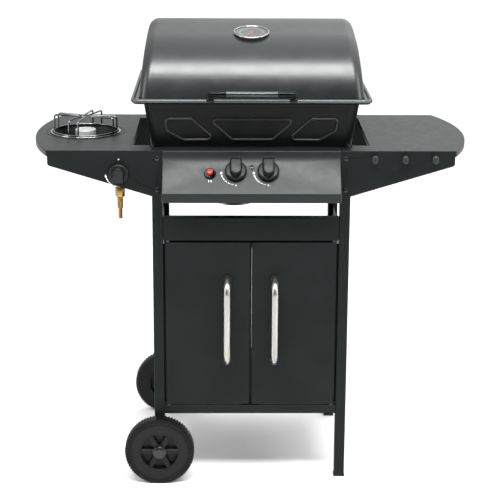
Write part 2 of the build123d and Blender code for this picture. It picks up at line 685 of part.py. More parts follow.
with BuildPart() as flame_tamers:
    for x in (-96, 96):
        with BuildSketch(Plane.XZ.offset(158)):
            with Locations((x, TUB_STEP + SHEET)):
                Polygon((-72, 0), (0, 26), (72, 0), (72, 1.4), (0, 27.4), (-72, 1.4), align=None)
        extrude(amount=-333)
save(flame_tamers, "flame_tamers")

GRATE_LOW = 905.0
GRATE_FRONT, GRATE_REAR = -181.0, 198.0
GRATE_HALF = 240.0

with BuildPart() as firebox_brackets:
    block((-225, -185, GRATE_LOW - 3), (225, -172, GRATE_LOW))
    block((-225, 190, GRATE_LOW - 3), (225, 202, GRATE_LOW))
    block((-153, 84, BURNER_LOW - 2.5), (153, 104, BURNER_LOW))
    for sign in (-1, 1):
        x_pair = sorted((DRAIN[0] + sign * 51, DRAIN[0] + sign * 59))
        block((x_pair[0], -60, 686), (x_pair[1], 118, 687.5))
        x_pair = sorted((DRAIN[0] + sign * 57.5, DRAIN[0] + sign * 59))
        block((x_pair[0], -60, 687.5), (x_pair[1], 118, TUB_FLOOR))
save(firebox_brackets, "firebox_brackets")

BAR_COUNT = 15
BAR_RADIUS = 2.4

with BuildPart() as cooking_grates:
    for sign in (-1, 1):
        x_pair = sorted((sign * 2, sign * GRATE_HALF))
        ring_block((x_pair[0], GRATE_FRONT, GRATE_LOW), (x_pair[1], GRATE_REAR, GRATE_LOW + 6), 6)
        pitch = (x_pair[1] - x_pair[0] - 6) / (BAR_COUNT + 1)
        for i in range(BAR_COUNT):
            x = x_pair[0] + 3 + pitch * (i + 1)
            rod((x, GRATE_FRONT + 3, GRATE_LOW + 3), (x, GRATE_REAR - 3, GRATE_LOW + 3), BAR_RADIUS)
save(cooking_grates, "cooking_grates")

RACK_Z = 985.0
RACK_FRONT, RACK_REAR = 95.0, 190.0
RACK_HALF = 205.0

with BuildPart() as warming_rack:
    ring_block((-RACK_HALF, RACK_FRONT, RACK_Z), (RACK_HALF, RACK_REAR, RACK_Z + 5), 5)
    for y in (113, 130, 147, 164):
        rod((-RACK_HALF + 3, y, RACK_Z + 2.5), (RACK_HALF - 3, y, RACK_Z + 2.5), 1.8)
    for x in (-RACK_HALF + 2.5, RACK_HALF - 2.5):
        for y in (RACK_FRONT + 2.5, RACK_REAR - 2.5):
            rod((x, y, GRATE_LOW + 6), (x, y, RACK_Z + 1), 2.5)
save(warming_rack, "warming_rack")

with BuildPart() as lid_bumpers:
    for x in (-230, 230):
        for y in (RIM_FRONT + 5, RIM_REAR - 5):
            rod((x, y, TUB_RIM), (x, y, LID_BOTTOM - 0.1), 3.5)
save(lid_bumpers, "lid_bumpers")

CUP_RADIUS = 50.0
CUP_TAPER = 2.0
CUP_LIP = 6.0
CUP_LOW, CUP_HIGH = 656.0, 690.0

with BuildPart() as grease_cup:
    with BuildSketch(Plane.XY.offset(CUP_LOW)):
        with Locations(DRAIN):
            Circle(CUP_RADIUS - CUP_TAPER)
    with BuildSketch(Plane.XY.offset(CUP_HIGH)):
        with Locations(DRAIN):
            Circle(CUP_RADIUS)
    loft()
    with BuildSketch(Plane.XY.offset(CUP_LOW + SHEET)):
        with Locations(DRAIN):
            Circle(CUP_RADIUS - CUP_TAPER - SHEET)
    with BuildSketch(Plane.XY.offset(CUP_HIGH + 1)):
        with Locations(DRAIN):
            Circle(CUP_RADIUS - SHEET)
    loft(mode=Mode.SUBTRACT)
    with BuildSketch(Plane.XY.offset(CUP_HIGH - 2)):
        with Locations(DRAIN):
            Circle(CUP_RADIUS + CUP_LIP)
            Circle(CUP_RADIUS - 2, mode=Mode.SUBTRACT)
    extrude(amount=2)
save(grease_cup, "grease_cup")

# --- Side burner ----------------------------------------------------------------------------------------

BOWL_RIM = 88.0
BOWL_DEPTH = 26.0
CAP_RADIUS = 25.5

with BuildPart() as burner_bowl:
    with BuildSketch(Plane.XY.offset(SHELF_TOP)):
        with Locations(BURNER_CENTRE):
            Circle(BOWL_RIM)
    extrude(amount=1.5)
    with BuildSketch(Plane.XY.offset(SHELF_TOP - BOWL_DEPTH)):
        with Locations(BURNER_CENTRE):
            Circle(BOWL_HOLE - 12)
    with BuildSketch(Plane.XY.offset(SHELF_TOP)):
        with Locations(BURNER_CENTRE):
            Circle(BOWL_HOLE - 0.2)
    loft()
    with BuildSketch(Plane.XY.offset(SHELF_TOP - BOWL_DEPTH + SHEET)):
        with Locations(BURNER_CENTRE):
            Circle(BOWL_HOLE - 13.2)
    with BuildSketch(Plane.XY.offset(SHELF_TOP + 2)):
        with Locations(BURNER_CENTRE):
            Circle(BOWL_HOLE - 1.4)
    loft(mode=Mode.SUBTRACT)
    tube_low = (*BURNER_CENTRE, SHELF_TOP - BOWL_DEPTH - 1)
    rod(tube_low, (*BURNER_CENTRE, SHELF_TOP - 10), HEAD_TUBE, Mode.SUBTRACT)
save(burner_bowl, "burner_bowl")

with BuildPart() as side_burner_head:
    rod((*BURNER_CENTRE, 762), (*BURNER_CENTRE, 806), HEAD_TUBE)
    rod((*BURNER_CENTRE, SHELF_TOP - BOWL_DEPTH + SHEET), (*BURNER_CENTRE, 820), CAP_RADIUS - 3)
save(side_burner_head, "side_burner_head")

with BuildPart() as side_burner_cap:
    rod((*BURNER_CENTRE, 820), (*BURNER_CENTRE, 837), CAP_RADIUS)
    fillet(side_burner_cap.faces().sort_by(Axis.Z)[-1].edges(), 2)
save(side_burner_cap, "side_burner_cap")

WIRE = 2.0
HAIRPIN_WIRE = 1.8
SUPPORT_RADIUS = 79.0
SUPPORT_BASE = SHELF_TOP + 1.5 + WIRE
SUPPORT_TOP = 872.0 - HAIRPIN_WIRE
SUPPORT_TIP = 17.0
HAIRPIN_HALF = 12.0
ARM_ANGLES = (-17, 73, 163, 253)

with BuildPart() as pan_support:
    with BuildSketch(Plane.XY.offset(SUPPORT_BASE - WIRE)):
        with Locations(BURNER_CENTRE):
            Circle(SUPPORT_RADIUS + WIRE)
            Circle(SUPPORT_RADIUS - WIRE, mode=Mode.SUBTRACT)
    extrude(amount=2 * WIRE)
    for angle in ARM_ANGLES:
        arm = Plane((*BURNER_CENTRE, 0)).rotated((0, 0, angle))
        reach = (SUPPORT_RADIUS**2 - HAIRPIN_HALF**2) ** 0.5
        corners = [
            arm.from_local_coords(point)
            for point in (
                (reach, -HAIRPIN_HALF, SUPPORT_BASE - 0.5),
                (reach, -HAIRPIN_HALF, SUPPORT_TOP),
                (SUPPORT_TIP, 0, SUPPORT_TOP),
                (reach, HAIRPIN_HALF, SUPPORT_TOP),
                (reach, HAIRPIN_HALF, SUPPORT_BASE - 0.5),
            )
        ]
        with BuildLine() as hairpin:
            FilletPolyline(*corners, radius=(6, 4, 6))
        with BuildSketch(Plane(origin=hairpin.line @ 0, z_dir=hairpin.line % 0)):
            Circle(HAIRPIN_WIRE)
        sweep()
save(pan_support, "pan_support")

# --- Lid -------------------------------------------------------------------------------------------------

LID_FLANGE_HALF = 280.0
LID_FLANGE_FRONT, LID_FLANGE_REAR = -217.0, 232.0
LID_FRONT = -213.0
LID_CORNERS = ((-214, 933), (-201, 1066), (30, 1115), (216, 1069), (230, 933))
LID_CORNER_RADII = (150, 250, 100)


def lid_form(inset, bottom):
    """The lid as a solid block of its outer shape, drawn in all round, down to a level."""
    with BuildPart() as form:
        with BuildSketch(Plane.YZ.offset(-LID_HALF - 5)):
            with BuildLine():
                crown = FilletPolyline(*LID_CORNERS, radius=LID_CORNER_RADII)
                Line(crown @ 1, crown @ 0)
            make_face()
            if inset:
                offset(amount=-inset, kind=Kind.INTERSECTION)
        extrude(amount=2 * LID_HALF + 10)
        for sign in (-1, 1):
            lean = radians(LID_DRAFT)
            out = Vector(sign * cos(lean), 0, sin(lean))
            wall = Vector(sign * LID_HALF, 0, LID_BOTTOM) - out * inset
            split(bisect_by=Plane(origin=wall, z_dir=out), keep=Keep.BOTTOM)
        for end in (0, -1):
            side_wall = form.faces().sort_by(Axis.X)[end]
            fillet(side_wall.edges().sort_by(Axis.Z)[1:], LID_EDGE_RADIUS - inset)
        split(bisect_by=Plane.XY.offset(bottom), keep=Keep.TOP)
    return form.part


lid_outer = lid_form(0, LID_BOTTOM)
lid_inner = lid_form(LID_SKIN, LID_BOTTOM - 5)
DIAL_TILT = 12.0
DIAL_CENTRE = Vector(0, -90.5, 1090)
dial_out = Vector(0, -sin(radians(DIAL_TILT)), cos(radians(DIAL_TILT)))
DIAL_PLANE = Plane(origin=DIAL_CENTRE, x_dir=(1, 0, 0), z_dir=dial_out)
PROBE_RADIUS = 4.0

with BuildPart() as lid_shell:
    add(lid_outer)
    with BuildSketch(Plane.XY.offset(LID_BOTTOM)):
        with Locations((0, (LID_FLANGE_FRONT + LID_FLANGE_REAR) / 2)):
            RectangleRounded(2 * LID_FLANGE_HALF, LID_FLANGE_REAR - LID_FLANGE_FRONT, 16)
    extrude(amount=4)
    add(lid_inner, mode=Mode.SUBTRACT)
    with BuildSketch(DIAL_PLANE.offset(-30)):
        Circle(PROBE_RADIUS)
    extrude(amount=60, mode=Mode.SUBTRACT)
save(lid_shell, "lid_shell")

BAR_Y, BAR_Z = -240.0, 970.0
BAR_HALF = 98.0
LID_BAR_RADIUS = 7.5

with BuildPart() as lid_handle_bar:
    rod((-BAR_HALF + 12, BAR_Y, BAR_Z), (BAR_HALF - 12, BAR_Y, BAR_Z), LID_BAR_RADIUS)
save(lid_handle_bar, "lid_handle_bar")

with BuildPart() as lid_handle_mounts:
    for sign in (-1, 1):
        x_pair = sorted((sign * (BAR_HALF - 12), sign * (BAR_HALF + 6)))
        block((x_pair[0], BAR_Y - 8.5, BAR_Z - 8.5), (x_pair[1], LID_FRONT + 15, BAR_Z + 8.5))
        x_pair = sorted((sign * (BAR_HALF - 6), sign * (BAR_HALF + 6)))
        block((x_pair[0], LID_FLANGE_FRONT - 3, LID_BOTTOM + 4), (x_pair[1], LID_FRONT + 5, BAR_Z))
    fillet(lid_handle_mounts.edges().filter_by(Axis.X).group_by(Axis.Y)[0], 6)
    add(lid_outer, mode=Mode.SUBTRACT)
save(lid_handle_mounts, "lid_handle_mounts")

BEZEL_RADIUS = 42.0
CASE_HEIGHT = 4.8
DIAL_SEAT = 0.6
DIAL_RADIUS = 38.5

with BuildPart() as thermometer_case:
    with BuildSketch(DIAL_PLANE.offset(-8)):
        Circle(BEZEL_RADIUS)
    extrude(amount=8 + CASE_HEIGHT)
    fillet(thermometer_case.faces().sort_by(Axis.Z)[-1].edges(), 1.2)
    with BuildSketch(DIAL_PLANE.offset(DIAL_SEAT)):
        Circle(DIAL_RADIUS)
    extrude(amount=20, mode=Mode.SUBTRACT)
    add(lid_outer, mode=Mode.SUBTRACT)
    with BuildSketch(DIAL_PLANE.offset(-60)):
        Circle(PROBE_RADIUS - 0.1)
    extrude(amount=60 + DIAL_SEAT)
    with BuildSketch(DIAL_PLANE.offset(-1)):
        Circle(1.55)
    extrude(amount=10, mode=Mode.SUBTRACT)
save(thermometer_case, "thermometer_case")

with BuildPart() as thermometer_dial:
    with BuildSketch(DIAL_PLANE.offset(DIAL_SEAT)):
        Circle(DIAL_RADIUS - 0.1)
        Circle(1.55, mode=Mode.SUBTRACT)
    extrude(amount=0.8)
save(thermometer_dial, "thermometer_dial")

POINTER_LENGTH = 30.0

with BuildPart() as thermometer_pointer:
    with BuildSketch(DIAL_PLANE.offset(1.8)):
        middle = (POINTER_LENGTH - 9) / 2
        with Locations((-middle * sin(radians(30)), -middle * cos(radians(30)))):
            Rectangle(2.2, POINTER_LENGTH + 9, rotation=-30)
        Circle(4)
    extrude(amount=0.8)
    with BuildSketch(DIAL_PLANE):
        Circle(1.5)
    extrude(amount=2.2)
save(thermometer_pointer, "thermometer_pointer")

with BuildPart() as thermometer_glass:
    with BuildSketch(DIAL_PLANE.offset(3.2)):
        Circle(DIAL_RADIUS - 0.1)
    extrude(amount=1.2)
save(thermometer_glass, "thermometer_glass")

# The lid turns on two short pins, one on each leaf, in the ears of two brackets on the firebox rim.
HINGE_X = 170.0
EAR = 4.0
pivot_y, pivot_z = LID_PIVOT


with BuildPart() as hinge_brackets:
    for sign in (-1, 1):
        x = sign * HINGE_X
        with BuildSketch(Plane.YZ.offset(x - EAR / 2)):
            bracket_outline = [(RIM_REAR, 941), (RIM_REAR, 918), (236, 918), (251, 940)]
            bracket_outline += [(251, 947), (237, 947), (237, 941)]
            Polygon(*bracket_outline, align=None)
            with Locations(LID_PIVOT):
                Circle(7.5)
        extrude(amount=EAR)
        rod((x - 20, pivot_y, pivot_z), (x + 20, pivot_y, pivot_z), PIN_RADIUS + RUNNING, Mode.SUBTRACT)
        x_pair = (x - 14, x + 14)
        block((x_pair[0], RIM_REAR, 918), (x_pair[1], RIM_REAR + 2, TUB_RIM - 1.5))
save(hinge_brackets, "hinge_brackets")

with BuildPart() as lid_hinges:
    for sign in (-1, 1):
        leaf_x = sign * (HINGE_X + EAR + TOUCH_GAP)
        with BuildSketch(Plane.YZ.offset(leaf_x - EAR / 2)):
            hinge_outline = [(LID_FLANGE_REAR, 945), (244, 940), (251, 948), (236, 972)]
            hinge_outline += [(225, 982), (220, 982), (220, 949), (LID_FLANGE_REAR, 949)]
            Polygon(*hinge_outline, align=None)
        extrude(amount=EAR)
        add(lid_outer, mode=Mode.SUBTRACT)
        pin_span = sorted((leaf_x, sign * (HINGE_X - EAR)))
        rod((pin_span[0], pivot_y, pivot_z), (pin_span[1], pivot_y, pivot_z), PIN_RADIUS)
save(lid_hinges, "lid_hinges")
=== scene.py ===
import json
import math

import bmesh
import bpy
from mathutils import Matrix, Vector


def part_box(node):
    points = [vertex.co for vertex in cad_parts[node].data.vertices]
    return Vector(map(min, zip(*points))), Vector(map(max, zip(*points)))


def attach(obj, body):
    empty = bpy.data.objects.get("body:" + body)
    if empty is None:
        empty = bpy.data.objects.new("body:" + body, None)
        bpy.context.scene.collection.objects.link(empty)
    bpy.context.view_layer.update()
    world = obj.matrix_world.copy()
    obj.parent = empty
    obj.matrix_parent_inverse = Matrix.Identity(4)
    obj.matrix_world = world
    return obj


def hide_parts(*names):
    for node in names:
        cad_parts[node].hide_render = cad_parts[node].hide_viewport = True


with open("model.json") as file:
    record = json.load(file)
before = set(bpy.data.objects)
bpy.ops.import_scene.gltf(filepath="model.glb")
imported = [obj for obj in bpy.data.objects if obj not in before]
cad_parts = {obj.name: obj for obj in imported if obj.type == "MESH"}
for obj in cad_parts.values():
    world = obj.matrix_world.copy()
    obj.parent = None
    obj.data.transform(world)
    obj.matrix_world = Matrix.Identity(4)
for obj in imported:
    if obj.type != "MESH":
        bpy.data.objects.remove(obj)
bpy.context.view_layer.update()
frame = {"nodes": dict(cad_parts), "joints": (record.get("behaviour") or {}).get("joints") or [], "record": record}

BEHAVIOUR = frame["record"]["behaviour"]
BODY_OF = {node: body for body, nodes in BEHAVIOUR["bodies"].items() for node in nodes}
JOINT = {joint["name"]: joint for joint in frame["joints"]}
X_AXIS = Vector((1, 0, 0))
Y_AXIS = Vector((0, 1, 0))
Z_AXIS = Vector((0, 0, 1))


# --- Shop tools: turning, folding, welding --------------------------------------------------------


def place(origin, across, outward):
    """A matrix whose X runs across, whose Z runs outward and whose origin is given."""
    z = Vector(outward).normalized()
    x = Vector(across)
    x = (x - z * x.dot(z)).normalized()
    y = z.cross(x)
    turn = Matrix((x, y, z)).transposed().to_4x4()
    return Matrix.Translation(Vector(origin)) @ turn


def mesh_of(shape, name):
    """The plain mesh of a working shape, which is then let go."""
    mesh = bpy.data.meshes.new(name)
    shape.to_mesh(mesh)
    shape.free()
    return mesh


def own_points(node, where):
    """A CAD node's points as a place sees them."""
    inward = where.inverted()
    return [inward @ vertex.co for vertex in frame["nodes"][node].data.vertices]


def reach_along(node, where):
    """The lowest and highest of a node along the Z of a place."""
    heights = [point.z for point in own_points(node, where)]
    return min(heights), max(heights)


def widest(points):
    """How far the farthest of some points is from the Z axis."""
    return max(math.hypot(point.x, point.y) for point in points)


def clusters(node, gap):
    """The centre of each separate solid in a node that holds several small ones."""
    groups = []
    for vertex in frame["nodes"][node].data.vertices:
        for group in groups:
            if (group[0] - vertex.co).length < gap:
                group.append(vertex.co.copy())
                break
        else:
            groups.append([vertex.co.copy()])
    centres = []
    for group in groups:
        low = Vector([min(point[i] for point in group) for i in range(3)])
        high = Vector([max(point[i] for point in group) for i in range(3)])
        centres.append((low + high) / 2)
    return centres


def box_outline(left, bottom, right, top):
    """A four-cornered outline."""
    return [(left, bottom), (right, bottom), (right, top), (left, top)]


def smoothed(mesh, angle=32):
    """Shades a mesh smooth and keeps its real corners crisp."""
    for face in mesh.polygons:
        face.use_smooth = True
    mesh.set_sharp_from_angle(angle=math.radians(angle))
    return mesh


def finished(name, mesh, body, slot, material, *nodes):
    """Hands over one finished piece with its finish, its body and the nodes it stands for."""
    piece = in_scene(name, mesh)
    if material is not None:
        mesh.materials.clear()
        mesh.materials.append(material)
    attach(piece, body)
    if nodes:
        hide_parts(*nodes)


def remade(node, mesh, slot, material):
    """Hands over a piece that takes the place of one CAD node."""
    finished(node + "_made", mesh, BODY_OF[node], slot, material, node)


def joined(meshes, name):
    """Several meshes as one, each keeping its own finish."""
    whole = bmesh.new()
    materials = []
    for mesh in meshes:
        start = len(whole.faces)
        whole.from_mesh(mesh)
        whole.faces.ensure_lookup_table()
        own = list(mesh.materials)
        if not own:
            continue
        for finish in own:
            if finish not in materials:
                materials.append(finish)
        for face in whole.faces[start:]:
            finish = own[min(face.material_index, len(own) - 1)]
            face.material_index = materials.index(finish)
    result = mesh_of(whole, name)
    for finish in materials:
        result.materials.append(finish)
    return result


def in_scene(name, data):
    """A new object in the scene."""
    made = bpy.data.objects.new(name, data)
    bpy.context.scene.collection.objects.link(made)
    return made


def evaluated(blank):
    """The plain mesh that an object's modifiers make. The object is then let go."""
    bpy.context.view_layer.update()
    graph = bpy.context.evaluated_depsgraph_get()
    result = bpy.data.meshes.new_from_object(blank.evaluated_get(graph))
    bpy.data.objects.remove(blank)
    return result


def worked(mesh, kind, settings):
    """A mesh with one modifier worked into it."""
    blank = in_scene("blank", mesh)
    tool = blank.modifiers.new(kind.lower(), kind)
    for key, value in settings.items():
        setattr(tool, key, value)
    return evaluated(blank)


NARROW_SHARE = 0.3
FOLD_ANGLE = math.radians(30)
FLAT_ANGLE = math.radians(0.4)
WELD_GAP = 2e-6
WIDE_FACE = 0.003


def longest_edge(face):
    """The length of a face's longest edge."""
    return max(edge.calc_length() for edge in face.edges)


def rim_faces(shape):
    """The narrow faces that run round an opening, such as a lid's lower edge."""
    found = []
    for face in shape.faces:
        if len(face.verts) > 4 and face.calc_area() < NARROW_SHARE * longest_edge(face) ** 2:
            found.append(face)
    return found


def welded(node):
    """A copy of a CAD node with its triangles joined into whole faces."""
    shape = bmesh.new()
    shape.from_mesh(frame["nodes"][node].data)
    bmesh.ops.remove_doubles(shape, verts=shape.verts, dist=WELD_GAP)
    bmesh.ops.dissolve_limit(shape, angle_limit=FLAT_ANGLE, verts=shape.verts, edges=shape.edges)
    bmesh.ops.triangulate(shape, faces=rim_faces(shape), ngon_method="EAR_CLIP")
    return mesh_of(shape, node + "_form")


def mark_folds(mesh, fine_share):
    """Marks the outer folds of a sheet part for a full bevel and its cut edges for a fine one."""
    shape = bmesh.new()
    shape.from_mesh(mesh)
    weight = shape.edges.layers.float.new("bevel_weight_edge")
    for edge in shape.edges:
        if len(edge.link_faces) != 2:
            continue
        bend = edge.calc_face_angle_signed(0.0)
        if abs(bend) < FOLD_ANGLE:
            continue
        widths = [face.calc_area() / longest_edge(face) for face in edge.link_faces]
        is_fold = bend > 0 and min(widths) > WIDE_FACE
        edge[weight] = 1.0 if is_fold else fine_share
    shape.to_mesh(mesh)
    shape.free()


def eased(node, fold=0.0016, edge=0.0004, steps=3):
    """A CAD node's form with its folds rounded and its edges broken, as pressed sheet has them."""
    mesh = welded(node)
    mark_folds(mesh, edge / fold)
    bevel = {"limit_method": "WEIGHT", "width": fold, "segments": steps, "use_clamp_overlap": False}
    even = {"mode": "FACE_AREA", "weight": 50, "keep_sharp": True}
    return worked(smoothed(worked(mesh, "BEVEL", bevel)), "WEIGHTED_NORMAL", even)


def refined(node, slot, material, fold=0.0016, edge=0.0004, steps=3):
    """A sheet or cast part made over with rounded folds, in place of its CAD node."""
    remade(node, eased(node, fold, edge, steps), slot, material)


def dress(node, material):
    """Gives a CAD node that keeps its own shape its finish."""
    for holder in frame["nodes"][node].material_slots:
        holder.material = material


CORNER_STEPS = 4
FINE_TURN = 96


def round_profile(points, radius, closed=False):
    """A profile with its inner corners rounded."""
    result = []
    count = len(points)
    for i, point in enumerate(points):
        if not closed and i in (0, count - 1):
            result.append(Vector(point))
            continue
        here = Vector(point)
        before = Vector(points[i - 1]) - here
        after = Vector(points[(i + 1) % count]) - here
        reach = min(radius, before.length * 0.45, after.length * 0.45)
        a = here + before.normalized() * reach
        b = here + after.normalized() * reach
        for k in range(CORNER_STEPS + 1):
            t = k / CORNER_STEPS
            result.append(a * (1 - t) ** 2 + here * 2 * t * (1 - t) + b * t**2)
    return result


def turned(profile, where, steps=72, ring=False, rounding=0.0):
    """A shape turned on a lathe from (radius, height) pairs. The profile starts and ends on the
    axis, unless the shape is a ring, whose profile closes on itself."""
    if rounding:
        profile = round_profile(profile, rounding, closed=ring)
    shape = bmesh.new()
    rows = []
    for radius, height in profile:
        if radius < 1e-7:
            rows.append([shape.verts.new((0, 0, height))])
            continue
        row = []
        for i in range(steps):
            turn = 2 * math.pi * i / steps
            row.append(shape.verts.new((radius * math.cos(turn), radius * math.sin(turn), height)))
        rows.append(row)
    pairs = list(zip(rows, rows[1:]))
    if ring:
        pairs.append((rows[-1], rows[0]))
    for low, high in pairs:
        for i in range(steps):
            j = (i + 1) % steps
            corners = [low[i % len(low)], low[j % len(low)]]
            corners += [high[j % len(high)], high[i % len(high)]]
            unique = list(dict.fromkeys(corners))
            if len(unique) > 2:
                shape.faces.new(unique)
    bmesh.ops.recalc_face_normals(shape, faces=shape.faces)
    mesh = mesh_of(shape, "turned")
    mesh.transform(where)
    return smoothed(mesh)


CORNER_ANGLE = math.radians(40)


def prism(outline, low, high, where, bevel=0.0, draft=0.0, steps=3):
    """An outline raised from low to high, drawn in a little at its top, with rounded edges."""
    shape = bmesh.new()
    centre = sum((Vector(p) for p in outline), Vector((0, 0))) / len(outline)
    base = [shape.verts.new((p[0], p[1], low)) for p in outline]
    top = []
    for p in outline:
        q = centre + (Vector(p) - centre) * (1 - draft)
        top.append(shape.verts.new((q.x, q.y, high)))
    shape.faces.new(base)
    shape.faces.new(top)
    count = len(outline)
    for i in range(count):
        j = (i + 1) % count
        shape.faces.new((base[i], base[j], top[j], top[i]))
    bmesh.ops.recalc_face_normals(shape, faces=shape.faces)
    mesh = mesh_of(shape, "prism")
    if bevel:
        settings = {"limit_method": "ANGLE", "angle_limit": CORNER_ANGLE}
        settings |= {"width": bevel, "segments": steps}
        mesh = worked(mesh, "BEVEL", settings)
    mesh.transform(where)
    return smoothed(mesh)


PRINT_HEIGHT = 0.00012
PRINT_FOOT = PRINT_HEIGHT - 0.0001


def flat_shapes(outlines, where):
    """Thin printed shapes lying just proud of a surface."""
    shape = bmesh.new()
    for outline in outlines:
        base = [shape.verts.new((p[0], p[1], PRINT_FOOT)) for p in outline]
        top = [shape.verts.new((p[0], p[1], PRINT_HEIGHT)) for p in outline]
        shape.faces.new(base)
        shape.faces.new(top)
        for i in range(len(outline)):
            j = (i + 1) % len(outline)
            shape.faces.new((base[i], base[j], top[j], top[i]))
    bmesh.ops.recalc_face_normals(shape, faces=shape.faces)
    mesh = mesh_of(shape, "print")
    mesh.transform(where)
    return mesh


def arc_band(radius, start, end, width_start, width_end, steps=16):
    """The outline of a band on an arc, in degrees, whose width runs from one size to another."""
    outer, inner = [], []
    for i in range(steps + 1):
        t = i / steps
        turn = math.radians(start + (end - start) * t)
        half = (width_start + (width_end - width_start) * t) / 2
        way = Vector((math.cos(turn), math.sin(turn)))
        outer.append(way * (radius + half))
        inner.append(way * (radius - half))
    return outer + inner[::-1]


def disc(radius, centre=(0, 0), steps=20):
    """The outline of a round dot."""
    points = []
    for i in range(steps):
        turn = 2 * math.pi * i / steps
        x = centre[0] + radius * math.cos(turn)
        y = centre[1] + radius * math.sin(turn)
        points.append(Vector((x, y)))
    return points


def link(source, target):
    """Joins an output to an input of the same node tree."""
    source.id_data.links.new(source, target)


# --- Geometry node trees: repeats and swept wires -------------------------------------------------


def new_tree(name, sizes):
    """A node tree with a geometry input and output, named inputs for its sizes and its finish."""
    tree = bpy.data.node_groups.new(name, "GeometryNodeTree")
    tree.interface.new_socket("Geometry", in_out="INPUT", socket_type="NodeSocketGeometry")
    for label, kind in {**sizes, "Finish": "Material"}.items():
        tree.interface.new_socket(label, in_out="INPUT", socket_type="NodeSocket" + kind)
    tree.interface.new_socket("Geometry", in_out="OUTPUT", socket_type="NodeSocketGeometry")
    return tree, tree.nodes.new("NodeGroupInput")


def close_tree(tree, entry, geometry):
    """Ends a tree: instances made real, then the finish put on."""
    real = tree.nodes.new("GeometryNodeRealizeInstances")
    finish = tree.nodes.new("GeometryNodeSetMaterial")
    link(geometry, real.inputs["Geometry"])
    link(real.outputs["Geometry"], finish.inputs["Geometry"])
    link(entry.outputs["Finish"], finish.inputs["Material"])
    way_out = tree.nodes.new("NodeGroupOutput")
    link(finish.outputs["Geometry"], way_out.inputs["Geometry"])
    return tree


def copies_on(tree, entry, points):
    """A node that sets the tree's item on each point."""
    item = tree.nodes.new("GeometryNodeObjectInfo")
    link(entry.outputs["Item"], item.inputs["Object"])
    copies = tree.nodes.new("GeometryNodeInstanceOnPoints")
    link(points, copies.inputs["Points"])
    link(item.outputs["Geometry"], copies.inputs["Instance"])
    return copies


def ring_tree():
    """Copies an item round the Z axis."""
    sizes = {"Item": "Object", "Count": "Int", "Step": "Float", "Start": "Float"}
    tree, entry = new_tree("copies_round_an_axis", sizes)
    points = tree.nodes.new("GeometryNodePoints")
    link(entry.outputs["Count"], points.inputs["Count"])
    index = tree.nodes.new("GeometryNodeInputIndex")
    turn = tree.nodes.new("ShaderNodeMath")
    turn.operation = "MULTIPLY_ADD"
    link(index.outputs[0], turn.inputs[0])
    link(entry.outputs["Step"], turn.inputs[1])
    link(entry.outputs["Start"], turn.inputs[2])
    euler = tree.nodes.new("ShaderNodeCombineXYZ")
    link(turn.outputs[0], euler.inputs["Z"])
    copies = copies_on(tree, entry, points.outputs[0])
    link(euler.outputs[0], copies.inputs["Rotation"])
    return close_tree(tree, entry, copies.outputs["Instances"])


def row_tree():
    """Copies an item along a straight line."""
    sizes = {"Item": "Object", "Count": "Int", "Step": "Vector"}
    tree, entry = new_tree("copies_in_a_row", sizes)
    line = tree.nodes.new("GeometryNodeMeshLine")
    line.mode = "OFFSET"
    link(entry.outputs["Count"], line.inputs["Count"])
    link(entry.outputs["Step"], line.inputs["Offset"])
    copies = copies_on(tree, entry, line.outputs["Mesh"])
    return close_tree(tree, entry, copies.outputs["Instances"])


def spots_tree():
    """Copies an item at each point of the host mesh, all turned the same way."""
    tree, entry = new_tree("copies_at_spots", {"Item": "Object", "Turn": "Vector"})
    copies = copies_on(tree, entry, entry.outputs["Geometry"])
    link(entry.outputs["Turn"], copies.inputs["Rotation"])
    return close_tree(tree, entry, copies.outputs["Instances"])


BEND_STEPS = 6


def sweep_tree():
    """Runs a round section along the host curve with its corners rounded."""
    sizes = {"Radius": "Float", "Corner": "Float", "Sides": "Int"}
    tree, entry = new_tree("swept_wire", sizes)
    corner = tree.nodes.new("GeometryNodeFilletCurve")
    corner.mode = "POLY"
    corner.inputs["Count"].default_value = BEND_STEPS
    corner.inputs["Limit Radius"].default_value = True
    link(entry.outputs["Geometry"], corner.inputs["Curve"])
    link(entry.outputs["Corner"], corner.inputs["Radius"])
    section = tree.nodes.new("GeometryNodeCurvePrimitiveCircle")
    link(entry.outputs["Sides"], section.inputs["Resolution"])
    link(entry.outputs["Radius"], section.inputs["Radius"])
    sweep = tree.nodes.new("GeometryNodeCurveToMesh")
    sweep.inputs["Fill Caps"].default_value = True
    link(corner.outputs[0], sweep.inputs["Curve"])
    link(section.outputs[0], sweep.inputs["Profile Curve"])
    return close_tree(tree, entry, sweep.outputs[0])


RING_TREE = ring_tree()
ROW_TREE = row_tree()
SPOTS_TREE = spots_tree()
SWEEP_TREE = sweep_tree()


def grown(host_data, tree, values, item=None):
    """The plain mesh that a tree makes from its host, with its inputs set by name."""
    host = in_scene("host", host_data)
    helper = None
    if item is not None:
        helper = in_scene("item", item)
        values = dict(values, Item=helper)
    tool = host.modifiers.new("nodes", "NODES")
    tool.node_group = tree
    for socket in tree.interface.items_tree:
        if socket.in_out == "INPUT" and socket.name in values:
            tool[socket.identifier] = values[socket.name]
    host.update_tag()
    mesh = evaluated(host)
    if helper is not None:
        bpy.data.objects.remove(helper)
    return mesh


def around(item, count, finish, start=0.0, step=None):
    """An item repeated round the Z axis, evenly unless a step is given."""
    step = step or 2 * math.pi / count
    host = bpy.data.meshes.new("ring_host")
    values = {"Count": count, "Step": step, "Start": start, "Finish": finish}
    return grown(host, RING_TREE, values, item)


def ring_of(item, count, finish, where, start=0.0, angle=32):
    """An item repeated evenly round a place's own Z axis."""
    mesh = around(item, count, finish, start)
    mesh.transform(where)
    return smoothed(mesh, angle)


def in_row(item, count, step, finish):
    """An item repeated along a line."""
    host = bpy.data.meshes.new("row_host")
    return grown(host, ROW_TREE, {"Count": count, "Step": tuple(step), "Finish": finish}, item)


